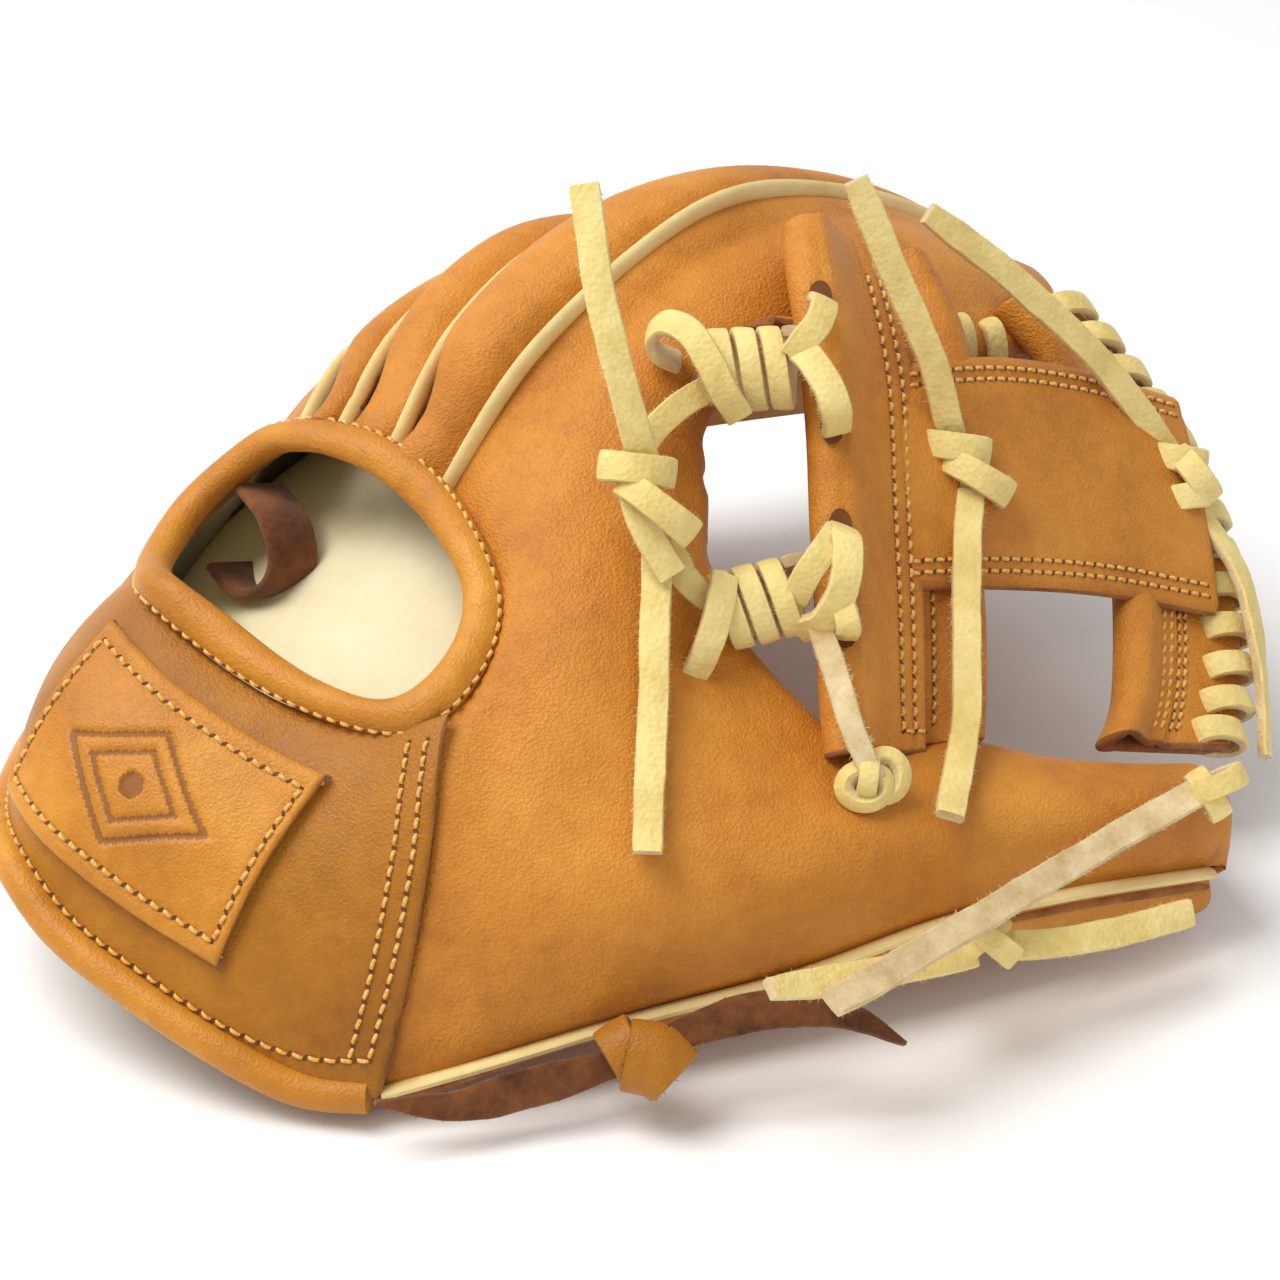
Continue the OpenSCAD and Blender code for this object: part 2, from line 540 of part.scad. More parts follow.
module heel_knot_tail_in() {
    color(strap_leather) place() lace(heel_tail_in, 6, [0, -0.7, 1]);
}
module heel_knot_tail_out() {
    color(strap_leather) place() lace(heel_tail_out, 6, [0, -0.7, 1]);
}

thumb_back();
thumb_palm();
thumb_lining();
thumb_pad();
thumb_welt();
thumb_loop();
hand_back();
middle_back();
ring_back();
little_back();
little_side();
index_welt();
middle_welt();
ring_welt();
little_welt();
edge_welt();
palm_leather();
palm_pad();
palm_lining();
back_lining();
stall_walls();
little_finger_loop();
wrist_strap();
strap_lining();
strap_patch();
opening_binding();
heel_binding();
heel_lace();
web_base();
web_post();
web_top();
web_edge_lace();
upper_coil();
lower_coil();
coil_core();
fingertip_lace();
index_side_lace();
coil_knot();
post_knot();
top_knot();
bar_knot();
thumb_tip_knot();
thumb_loop_knot();
heel_knot();
coil_knot_tail_up();
coil_knot_tail_down();
post_knot_tail_up();
post_knot_tail_down();
top_knot_tail_up();
top_knot_tail_down();
bar_knot_tail();
thumb_tip_knot_tail();
thumb_loop_knot_tail_out();
thumb_loop_knot_tail_in();
heel_knot_tail_in();
heel_knot_tail_out();
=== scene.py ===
"""Baseball glove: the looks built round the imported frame.

Lengths below are in mm until place() turns them into metres.
"""
import math
import random
import bpy
import numpy as np
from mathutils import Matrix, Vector


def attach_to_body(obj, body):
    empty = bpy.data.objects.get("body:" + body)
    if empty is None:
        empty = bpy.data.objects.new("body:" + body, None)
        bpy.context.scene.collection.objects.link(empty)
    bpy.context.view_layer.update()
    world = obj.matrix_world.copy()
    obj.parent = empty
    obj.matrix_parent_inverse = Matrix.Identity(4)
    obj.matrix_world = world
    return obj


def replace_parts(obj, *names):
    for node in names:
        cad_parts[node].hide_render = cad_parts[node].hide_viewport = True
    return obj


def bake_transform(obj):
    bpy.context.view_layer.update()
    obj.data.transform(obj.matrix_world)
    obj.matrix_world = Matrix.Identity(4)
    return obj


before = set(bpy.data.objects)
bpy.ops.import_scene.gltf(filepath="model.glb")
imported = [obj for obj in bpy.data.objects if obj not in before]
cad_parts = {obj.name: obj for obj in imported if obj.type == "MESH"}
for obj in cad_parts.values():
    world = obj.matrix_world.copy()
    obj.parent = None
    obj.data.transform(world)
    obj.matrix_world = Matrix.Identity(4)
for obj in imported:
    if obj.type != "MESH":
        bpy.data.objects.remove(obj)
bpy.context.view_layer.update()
SHIFT = np.array([-38.95, 20.0, -1.87])  # the same move as in part.scad
RNG = random.Random(7)
V = lambda *p: np.array(p, float)


def place(p):
    return (np.asarray(p, float) + SHIFT) / 1000.0


def unit(v):
    v = np.asarray(v, float)
    n = np.linalg.norm(v, axis=-1, keepdims=True)
    return v / np.where(n < 1e-9, 1, n)


# ---------------------------------------------------------------- camera
def make_camera():
    az, el, dist = math.radians(-35), math.radians(30), 0.7
    back = Vector((math.sin(az) * math.cos(el), -math.cos(az) * math.cos(el), math.sin(el)))
    target = Vector(place((30, -35, 52)))
    cam = bpy.data.objects.new("camera", bpy.data.cameras.new("camera"))
    bpy.context.scene.collection.objects.link(cam)
    cam.data.sensor_width = 36
    cam.data.lens = 92.64
    cam.location = target + back * dist
    cam.rotation_mode = "QUATERNION"
    cam.rotation_quaternion = (-back).to_track_quat("-Z", "Y")
    cam.data.clip_start, cam.data.clip_end = 0.01, 20
    bpy.context.scene.camera = cam


make_camera()

# ---------------------------------------------------------------- materials
def new_material(name):
    m = bpy.data.materials.new(name)
    m.use_nodes = True
    t = m.node_tree
    return m, t, t.nodes["Principled BSDF"]


def node(t, kind, **values):
    n = t.nodes.new(kind)
    for k, v in values.items():
        if k in n.inputs:
            n.inputs[k].default_value = v
        else:
            setattr(n, k, v)
    return n


def srgb(r, g, b):
    f = lambda c: (c / 255 / 12.92) if c / 255 <= 0.04045 else ((c / 255 + 0.055) / 1.055) ** 2.4
    return (f(r), f(g), f(b), 1.0)


def ramp(t, source, stops):
    r = t.nodes.new("ShaderNodeValToRGB")
    r.color_ramp.elements[0].position, r.color_ramp.elements[0].color = stops[0]
    r.color_ramp.elements[1].position, r.color_ramp.elements[1].color = stops[-1]
    for pos, col in stops[1:-1]:
        e = r.color_ramp.elements.new(pos)
        e.color = col
    t.links.new(source, r.inputs["Fac"])
    return r.outputs["Color"]


def leather(name, dark, mid, light, rough=(0.42, 0.6), grain=0.22, scale=1.0, pebble=1500, mottle=26):
    """Grain leather: broad mottling, fine pebble grain, pores and soft wrinkles."""
    m, t, b = new_material(name)
    co = node(t, "ShaderNodeTexCoord").outputs["Object"]
    broad = node(t, "ShaderNodeTexNoise", Scale=mottle, Detail=5.0, Roughness=0.6)
    fine = node(t, "ShaderNodeTexNoise", Scale=240.0, Detail=6.0, Roughness=0.65)
    t.links.new(co, broad.inputs["Vector"])
    t.links.new(co, fine.inputs["Vector"])
    mix = node(t, "ShaderNodeMath", operation="MULTIPLY_ADD")
    mix.inputs[1].default_value = 0.35
    t.links.new(fine.outputs["Fac"], mix.inputs[0])
    t.links.new(broad.outputs["Fac"], mix.inputs[2])
    col = ramp(t, mix.outputs[0], [(0.42, dark), (0.66, mid), (0.92, light)])
    t.links.new(col, b.inputs["Base Color"])
    rr = node(t, "ShaderNodeMapRange")
    rr.inputs["To Min"].default_value, rr.inputs["To Max"].default_value = rough
    rr.inputs["From Min"].default_value, rr.inputs["From Max"].default_value = 0.3, 0.7
    t.links.new(fine.outputs["Fac"], rr.inputs["Value"])
    t.links.new(rr.outputs[0], b.inputs["Roughness"])
    cells = node(t, "ShaderNodeTexVoronoi", Scale=pebble * scale)
    cells.feature = "F1"
    warp = node(t, "ShaderNodeTexNoise", Scale=500.0, Detail=3.0)
    t.links.new(co, warp.inputs["Vector"])
    moved = node(t, "ShaderNodeVectorMath", operation="MULTIPLY_ADD")
    moved.inputs[1].default_value = (0.0012, 0.0012, 0.0012)
    t.links.new(warp.outputs["Color"], moved.inputs[0])
    t.links.new(co, moved.inputs[2])
    t.links.new(moved.outputs[0], cells.inputs["Vector"])
    wrinkle = node(t, "ShaderNodeTexNoise", Scale=90.0, Detail=8.0, Roughness=0.7)
    t.links.new(co, wrinkle.inputs["Vector"])
    b1 = node(t, "ShaderNodeBump", Strength=grain, Distance=0.0004)
    t.links.new(cells.outputs["Distance"], b1.inputs["Height"])
    b2 = node(t, "ShaderNodeBump", Strength=0.25, Distance=0.0008)
    t.links.new(wrinkle.outputs["Fac"], b2.inputs["Height"])
    t.links.new(b1.outputs["Normal"], b2.inputs["Normal"])
    t.links.new(b2.outputs["Normal"], b.inputs["Normal"])
    b.inputs["Sheen Weight"].default_value = 0.04
    b.inputs["Sheen Roughness"].default_value = 0.5
    b.inputs["Specular IOR Level"].default_value = 0.36
    return m


def suede(name, dark, light, scale=900.0, strength=0.7):
    """Napped flesh side of leather: no gloss, short fibres."""
    m, t, b = new_material(name)
    co = node(t, "ShaderNodeTexCoord").outputs["Object"]
    n1 = node(t, "ShaderNodeTexNoise", Scale=scale, Detail=5.0, Roughness=0.75)
    n2 = node(t, "ShaderNodeTexNoise", Scale=scale / 6, Detail=4.0)
    t.links.new(co, n1.inputs["Vector"])
    t.links.new(co, n2.inputs["Vector"])
    mix = node(t, "ShaderNodeMath", operation="MULTIPLY_ADD")
    mix.inputs[1].default_value = 0.5
    t.links.new(n1.outputs["Fac"], mix.inputs[0])
    t.links.new(n2.outputs["Fac"], mix.inputs[2])
    t.links.new(ramp(t, mix.outputs[0], [(0.5, dark), (1.0, light)]), b.inputs["Base Color"])
    bump = node(t, "ShaderNodeBump", Strength=strength, Distance=0.0005)
    t.links.new(n1.outputs["Fac"], bump.inputs["Height"])
    t.links.new(bump.outputs["Normal"], b.inputs["Normal"])
    b.inputs["Roughness"].default_value = 0.95
    b.inputs["Specular IOR Level"].default_value = 0.15
    b.inputs["Sheen Weight"].default_value = 0.15
    b.inputs["Sheen Roughness"].default_value = 0.6
    return m


def thread(name, dark, light):
    m, t, b = new_material(name)
    co = node(t, "ShaderNodeTexCoord").outputs["Object"]
    n = node(t, "ShaderNodeTexNoise", Scale=1800.0, Detail=3.0)
    t.links.new(co, n.inputs["Vector"])
    t.links.new(ramp(t, n.outputs["Fac"], [(0.3, dark), (0.7, light)]), b.inputs["Base Color"])
    bump = node(t, "ShaderNodeBump", Strength=0.4, Distance=0.0002)
    t.links.new(n.outputs["Fac"], bump.inputs["Height"])
    t.links.new(bump.outputs["Normal"], b.inputs["Normal"])
    b.inputs["Roughness"].default_value = 0.55
    return m


TAN = leather("tan_leather", srgb(172, 102, 26), srgb(201, 128, 36), srgb(219, 148, 54),
              rough=(0.42, 0.58), grain=0.6)
STRAP = leather("strap_leather", srgb(146, 88, 8), srgb(172, 108, 12), srgb(194, 130, 28),
                rough=(0.4, 0.54), grain=0.4)
ROLL = leather("binding_leather", srgb(172, 106, 22), srgb(198, 128, 32), srgb(220, 154, 52),
               rough=(0.36, 0.5), grain=0.4)
WELT = leather("welt_leather", srgb(220, 190, 118), srgb(238, 214, 148), srgb(248, 230, 170),
               rough=(0.45, 0.6), grain=0.1)
LACE = leather("lace_grain", srgb(216, 187, 108), srgb(232, 207, 130), srgb(243, 224, 152),
               rough=(0.45, 0.6), grain=0.5, pebble=900, mottle=60)
LACE_CUT = suede("lace_flesh", srgb(200, 168, 116), srgb(240, 219, 172))
TAN_CUT = suede("leather_cut_edge", srgb(128, 74, 32), srgb(186, 122, 66))
# brown suede's own colour, darkened further as painted shade for the loop inside the hand opening
BROWN_SUEDE_AND_SHADE = suede("brown_suede", srgb(74, 38, 16), srgb(140, 84, 40), scale=700.0)
# dark brown suede painted as the shade inside the glove, on the finger backs' inner faces and the back
# lining
INNER_SHADE = suede("inner_painted_shade", srgb(46, 27, 17), srgb(104, 66, 40), scale=500.0)
LINING = leather("lining_leather", srgb(222, 208, 164), srgb(236, 224, 184), srgb(243, 234, 200),
                 rough=(0.6, 0.75), grain=0.12)
FELT = suede("felt_padding", srgb(150, 146, 132), srgb(190, 186, 172))
THREAD = thread("thread", srgb(206, 144, 56), srgb(246, 202, 118))
# dark discs: painted shade standing in for the depth of needle and lace holes
HOLE_SHADE = suede("needle_hole_shade", srgb(92, 50, 20), srgb(124, 72, 32))
# outer face, inner face and cut edge of a sheet
LINED = [LINING] * 3
PADDED = [FELT] * 3
WEB = [TAN, TAN_CUT, TAN_CUT]
TWO_GRAINS = [TAN, TAN, TAN_CUT]

# ---------------------------------------------------------------- curves and grids
def cat(p, s, closed=False):
    """Smooth curve through p at s, counted in control points."""
    p = np.asarray(p, float)
    s = np.atleast_1d(np.asarray(s, float))
    n = len(p)
    if closed:
        i = np.floor(s).astype(int)
        q = [p[(i + k) % n] for k in (-1, 0, 1, 2)]
    else:
        i = np.clip(np.floor(s).astype(int), 0, n - 2)
        q = [p[np.clip(i + k, 0, n - 1)] for k in (-1, 0, 1, 2)]
    t = (s - i).reshape((-1,) + (1,) * (p.ndim - 1))
    return 0.5 * (2 * q[1] + (q[2] - q[0]) * t + (2 * q[0] - 5 * q[1] + 4 * q[2] - q[3]) * t**2
                  + (3 * q[1] - q[0] - 3 * q[2] + q[3]) * t**3)


def curve(p, n, a=0.0, b=1.0):
    return cat(p, np.linspace(a, b, n) * (len(p) - 1))


def even(p, step, closed=False, a=0.0, b=1.0):
    """Points about step apart along the smooth curve through p."""
    m = len(p) if closed else len(p) - 1
    d = cat(p, np.linspace(a, b, 60 * m + 1) * m, closed)
    run = np.concatenate([[0], np.cumsum(np.linalg.norm(np.diff(d, axis=0), axis=1))])
    n = max(2, int(round(run[-1] / step)))
    at = np.linspace(0, run[-1], n + 1)
    q = np.stack([np.interp(at, run, d[:, k]) for k in range(3)], 1)
    return q[:-1] if closed else q


def surface(net, us, vs):
    """Grid of points of the surface through a net of columns."""
    cols = [cat(c, us) for c in net]
    stack = np.stack(cols, 0)
    return np.transpose(cat(stack, vs), (1, 0, 2))


def normals(g):
    du = np.gradient(g, axis=0)
    dv = np.gradient(g, axis=1)
    return unit(np.cross(du, dv))


def edge_steps(n, near=0.02):
    """0..1 with extra steps close to both ends."""
    inner = np.linspace(near * 2.5, 1 - near * 2.5, n)
    return np.concatenate([[0, near * 0.5, near, near * 1.6], inner,
                           [1 - near * 1.6, 1 - near, 1 - near * 0.5, 1]])


def mesh(name, verts, faces, mats, index=None, smooth=True):
    me = bpy.data.meshes.new(name)
    me.from_pydata([tuple(v) for v in place(verts)], [], [tuple(int(i) for i in f) for f in faces])
    for m in mats:
        me.materials.append(m)
    if index is not None:
        me.polygons.foreach_set("material_index", np.asarray(index, np.int32))
    me.polygons.foreach_set("use_smooth", [smooth] * len(me.polygons))
    me.update()
    if smooth:
        me.set_sharp_from_angle(angle=math.radians(50))
    o = bpy.data.objects.new(name, me)
    bpy.context.scene.collection.objects.link(o)
    return o


def grid_faces(r, c, wrap_r=False, wrap_c=False):
    i, j = np.meshgrid(np.arange(r if wrap_r else r - 1), np.arange(c if wrap_c else c - 1),
                       indexing="ij")
    i2, j2 = (i + 1) % r, (j + 1) % c
    return np.stack([i * c + j, i2 * c + j, i2 * c + j2, i * c + j2], -1).reshape(-1, 4)


def sheet(name, g, t, mats):
    """A leather sheet: outer face g, thickness t, with rounded cut edges. mats: outer, inner, edge."""
    r, c = g.shape[:2]
    n = normals(g)
    top, low = g.reshape(-1, 3), (g - n * t).reshape(-1, 3)
    k = r * c
    f = grid_faces(r, c)
    ring = ([j for j in range(c)] + [i * c + c - 1 for i in range(1, r)]
            + [r * c - 1 - j for j in range(1, c)] + [(r - 1 - i) * c for i in range(1, r - 1)])
    ring = np.array(ring)
    away = top[ring] - top[inner_of(ring, r, c)]
    away = unit(away) * t * 0.32
    m = len(ring)
    extra = np.concatenate([(top[ring] * 0.8 + low[ring] * 0.2) + away * 0.8,
                            (top[ring] + low[ring]) / 2 + away,
                            (top[ring] * 0.2 + low[ring] * 0.8) + away * 0.8])
    nxt = (np.arange(m) + 1) % m
    e0, e1, e2 = 2 * k + np.arange(m), 2 * k + m + np.arange(m), 2 * k + 2 * m + np.arange(m)
    rows = [ring, e0, e1, e2, ring + k]
    side = []
    for a, b in zip(rows[:-1], rows[1:]):
        side.append(np.stack([a, a[nxt], b[nxt], b], 1))
    side = np.concatenate(side)
    faces = np.concatenate([f, f[:, ::-1] + k, side])
    idx = [0] * len(f) + [1] * len(f) + [2] * len(side)
    return mesh(name, np.concatenate([top, low, extra]), faces, mats, idx)


def inner_of(ring, r, c):
    i, j = ring // c, ring % c
    return np.clip(i, 1, r - 2) * c + np.clip(j, 1, c - 2)


def frames(p, up, closed=False):
    """Tangent, side and face directions along a route; faces turn towards the hints in up."""
    if closed:
        t = unit(np.roll(p, -1, 0) - np.roll(p, 1, 0))
    else:
        t = unit(np.gradient(p, axis=0))
    up = np.broadcast_to(np.asarray(up, float), p.shape)
    side = unit(np.cross(t, up))
    return t, side, np.cross(side, t)


def sweep(name, p, sec, up, mats, sec_mats=None, closed=False, scale=None, capped=True):
    """A closed section swept along a route. sec: (side, face) pairs anticlockwise."""
    _, side, face = frames(p, up, closed)
    n, m = len(p), len(sec)
    sec = np.asarray(sec, float)
    k = np.ones(n) if scale is None else scale
    v = (p[:, None] + side[:, None] * (sec[None, :, :1] * k[:, None, None])
         + face[:, None] * (sec[None, :, 1:] * k[:, None, None]))
    f = grid_faces(n, m, closed, True)
    idx = [0 if sec_mats is None else sec_mats[q % m] for q in range(len(f))]
    verts = v.reshape(-1, 3)
    faces = [tuple(q) for q in f]
    if not closed and capped:
        cut = 0 if sec_mats is None else max(sec_mats)
        faces += [tuple(range(m)), tuple((n - 1) * m + q for q in range(m))[::-1]]
        idx += [cut, cut]
    return mesh(name, verts, faces, mats, idx)


def round_section(w, t, q=3):
    """Rounded rectangle, anticlockwise from its right side."""
    r = t * 0.42
    pts = []
    x, y = w / 2 - r, t / 2 - r
    for cx, cy, a0 in ((x, y, 0), (-x, y, 90), (-x, -y, 180), (x, -y, 270)):
        for k in range(q + 1):
            a = math.radians(a0 + 90 * k / q)
            pts.append((cx + r * math.cos(a), cy + r * math.sin(a)))
    return pts


def ellipse(a, b, n=16):
    return [(a * math.cos(2 * math.pi * k / n), b * math.sin(2 * math.pi * k / n)) for k in range(n)]


def stitches(name, p, up, body, pitch=3.0, length=2.5, lean=9.0, rad=0.42, mats=None):
    """A row of sewn stitches along route p (points on the leather), each with its needle holes painted
    dark as shade.
    """
    t, _, face = frames(p, up)
    seg = np.linalg.norm(np.diff(p, axis=0), axis=1)
    run = np.concatenate([[0], np.cumsum(seg)])
    count = max(1, int(run[-1] / pitch))
    verts, faces, idx = [], [], []
    rings, around = 5, 6
    for k in range(count):
        s = (k + 0.5) * run[-1] / count
        at = lambda a: np.array([np.interp(s, run, a[:, q]) for q in range(3)])
        c, tt, ff = at(p), unit(at(t)), unit(at(face))
        ss = np.cross(tt, ff)
        a = math.radians(lean * (0.8 + 0.4 * RNG.random()))
        d = tt * math.cos(a) + ss * math.sin(a)
        w = np.cross(d, ff)
        base = len(verts)
        for i in range(rings):
            x = i / (rings - 1) * 2 - 1
            mid = c + d * (x * length / 2) + ff * (0.42 - 0.75 * x**4)
            r = rad * (1 - 0.35 * abs(x) ** 3)
            for j in range(around):
                b = 2 * math.pi * j / around
                verts.append(mid + w * r * math.cos(b) + ff * r * math.sin(b))
        for i in range(rings - 1):
            for j in range(around):
                faces.append((base + i * around + j, base + (i + 1) * around + j,
                              base + (i + 1) * around + (j + 1) % around, base + i * around
                              + (j + 1) % around))
                idx.append(0)
        # needle holes: flat dark discs painted as the shade in the holes
        for x in (-1, 1):
            base = len(verts)
            mid = c + d * (x * (length / 2 + 0.12)) + ff * 0.10
            for j in range(8):
                b = 2 * math.pi * j / 8
                verts.append(mid + d * 0.5 * math.cos(b) + w * 0.42 * math.sin(b))
            faces.append(tuple(base + j for j in range(8)))
            idx.append(1)
    o = mesh(name, verts, faces, mats or [THREAD, HOLE_SHADE], idx)
    attach(o, body)
    return o


def attach(o, body):
    """body is hand or thumb, or fold for what crosses the crease between them."""
    if body == "fold":
        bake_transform(o)
    else:
        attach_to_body(o, body)
    return o


def finished(o, body, slot, *nodes):
    attach(o, body)
    if nodes:
        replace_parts(o, *nodes)
    return o


# ---------------------------------------------------------------- control points
# as in part.scad, but for the last points of the base bar's two edges
fold_and_web_side = V([-70, -87, 9], [-42, -93, 35], [-6, -94, 58], [27, -80, 69], [30, -57, 88],
                      [46, -40, 105], [78, -34, 112], [105, -33, 104], [130, -31, 94], [152, -27, 86])
index_seam = V([-104, -20, 34], [-92, -20, 58], [-62, -19, 75], [-8, -20, 94], [14, -18, 117],
               [49, -11, 131], [78, -4, 133], [114, 7, 121], [144, 13, 106], [167, 15, 88])
middle_seam = V([-102, 4, 36], [-91, 3, 60], [-60, 0, 77], [-11, -5, 98], [12, 7, 114],
                [45, 20, 121], [84, 32, 113], [124, 40, 97], [157, 43, 76], [184, 44, 54])
ring_seam = V([-99, 22, 33], [-89, 20, 58], [-55, 16, 76], [-16, 8, 98], [8, 24, 108],
              [39, 38, 111], [70, 51, 99], [102, 60, 81], [133, 62, 62], [158, 61, 48])
pinky_seam = V([-93, 45, 24], [-82, 42, 52], [-50, 30, 74], [-20, 18, 95], [3, 37, 99],
               [33, 56, 90], [58, 69, 75], [80, 76, 61], [98, 77, 51], [111, 75, 44])
low_edge = V([-52, 80, 9], [-36, 85, 8], [-20, 90, 7], [-3, 94, 6], [17, 98, 6],
             [40, 100, 6], [62, 99, 6], [82, 94, 10], [97, 87, 19], [107, 80, 32])
back_net = [fold_and_web_side, index_seam, middle_seam, ring_seam, pinky_seam, low_edge]
palm_net = [
    V([-68, -84, 6], [-38, -80, 20], [-5, -76, 38], [28, -66, 56], [36, -48, 78],
      [52, -30, 93], [80, -24, 99], [107, -24, 92], [131, -23, 83], [151, -20, 76]),
    V([-80, -50, 16], [-48, -48, 38], [-15, -44, 56], [14, -36, 74], [34, -20, 92],
      [60, -6, 104], [90, 4, 101], [118, 10, 93], [143, 14, 82], [163, 15, 73]),
    V([-82, -10, 20], [-50, -8, 46], [-18, -4, 66], [10, 4, 82], [36, 14, 93],
      [64, 24, 95], [94, 31, 86], [126, 37, 73], [156, 41, 56], [180, 43, 40]),
    V([-72, 24, 18], [-43, 28, 42], [-16, 32, 62], [12, 38, 74], [38, 44, 80],
      [63, 50, 76], [90, 55, 65], [115, 58, 53], [137, 59, 43], [154, 58, 37]),
    V([-60, 52, 13], [-35, 57, 32], [-12, 64, 46], [13, 68, 53], [35, 71, 53],
      [56, 73, 48], [75, 74, 43], [91, 74, 39], [103, 72, 37], [111, 70, 37]),
    V([-50, 78, 5], [-28, 85, 4], [-4, 91, 3], [18, 95, 3], [40, 97, 3],
      [60, 95, 3.5], [78, 91, 7], [92, 85, 14], [101, 80, 22], [108, 76, 29])]
thumb_outer = V([106, -134, 19], [72, -130, 25], [43, -124, 26], [12, -116, 21],
                [-20, -106, 18], [-48, -97, 14], [-70, -87, 9])
thumb_inner = V([114, -117, 33], [88, -112, 40], [66, -104, 48], [48, -100, 51],
                [38, -97, 54], [31, -91, 61], [27, -82, 68])
hand_outer = V([-70, -87, 9], [-60, -83, 31], [-50, -76, 51], [-39, -66, 69], [-22, -58, 76],
               [-13, -45, 87], [-8, -20, 94], [14, -18, 117], [49, -11, 131], [78, -4, 133],
               [114, 7, 121], [144, 13, 106], [167, 15, 88])
hand_inner = V([27, -82, 68], [26, -76, 72], [26, -71, 76], [27, -66, 80], [28, -61, 84],
               [30, -57, 88], [33, -52, 93], [37, -47, 98], [46, -40, 105], [78, -34, 112],
               [105, -33, 104], [130, -31, 94], [152, -27, 86])
pinky_upper = V([-52, 24, 72], [-38, 31, 77], [-24, 26, 89], [-20, 18, 95], [3, 37, 99],
                [33, 56, 90], [58, 69, 75], [80, 76, 61], [98, 77, 51], [111, 75, 44])
pinky_lower = V([-52, 80, 9], [-36, 85, 8], [-20, 90, 7], [-3, 94, 6], [17, 98, 6],
                [40, 100, 6], [62, 99, 6], [82, 94, 10], [97, 87, 19], [107, 80, 32])
strap_low = V([-70, -87, 9], [-80, -77, 9], [-90, -64, 15], [-99, -46, 22], [-105, -28, 28],
              [-106, -11, 35], [-101, 4, 35], [-91, 20, 32], [-77, 42, 25], [-64, 63, 15], [-52, 80, 9])
strap_top = V([-39, -66, 69], [-44, -60, 67], [-49, -50, 66], [-54, -40, 66], [-59, -30, 68],
              [-64, -15, 72], [-66, 0, 76], [-63, 11, 75], [-58, 18, 74], [-55, 22, 73], [-52, 24, 72])
rim = V([-66, 0, 76], [-63, -15, 72], [-58, -30, 68], [-51, -45, 65.5], [-43, -58, 66],
        [-34, -62, 70], [-22, -58, 76], [-14, -50, 83], [-11, -38, 90], [-8, -20, 94],
        [-11, -5, 98], [-16, 8, 98], [-20, 18, 95], [-24, 27, 89], [-38, 32, 77], [-52, 25, 71],
        [-62, 11, 74])
patch_low = V([-88, -61, 31], [-97, -42, 37], [-102, -22, 42], [-101, -2, 46])
patch_top = V([-61, -57, 64], [-68, -38, 67], [-73, -18, 70], [-75, 1, 75])
base_roll_crotch = V([80, -24, 130], [71, -38, 126], [65, -50, 116], [59, -61, 104],
                     [51, -73, 91], [45, -83, 79], [38, -94, 66], [33.5, -102, 57])
base_roll_window = V([106, -27, 117], [104, -41, 108], [100, -53, 96], [95, -60, 88],
                     [90, -67, 81], [81, -80, 66], [72, -92, 54], [65, -100, 45])
post_upper = V([86, -50, 107], [112, -49, 101], [136, -50, 92], [158, -52, 81])
post_lower = V([64, -80, 74], [91, -81, 66], [117, -83, 57], [141, -87, 47])
top_roll = V([137, -27, 99], [142, -38, 88], [141, -54, 75], [137, -68, 63],
             [128, -82, 52], [115, -97, 40], [104, -105, 36])
lace_edge = V([158, -22, 92], [163, -36, 80], [167, -50, 67], [165, -66, 54],
              [157, -82, 43], [146, -97, 33], [132, -109, 27])


# ---------------------------------------------------------------- laces
GRAIN = [1, 0, 0, 0, 0, 0, 0, 0, 1, 1, 1, 1, 1, 1]


def ribbon_section(w, t):
    half = [(0.5, -0.3), (0.5, 0.22), (0.455, 0.46), (0.3, 0.52), (0.1, 0.55)]
    top = [(x * w, y * t) for x, y in half] + [(-x * w, y * t) for x, y in half[::-1]]
    return (top + [(-0.44 * w, -0.5 * t), (-0.15 * w, -0.5 * t), (0.15 * w, -0.5 * t),
                   (0.44 * w, -0.5 * t)])


def waves(n, step, size, length):
    """Smooth random wandering along a route."""
    s = np.arange(n) * step
    out = np.zeros(n)
    for k in range(4):
        out += (math.pow(0.6, k) * np.sin(2 * math.pi * s / (length * math.pow(0.55, k))
                                          + RNG.random() * 6.28))
    return out * size / 1.6


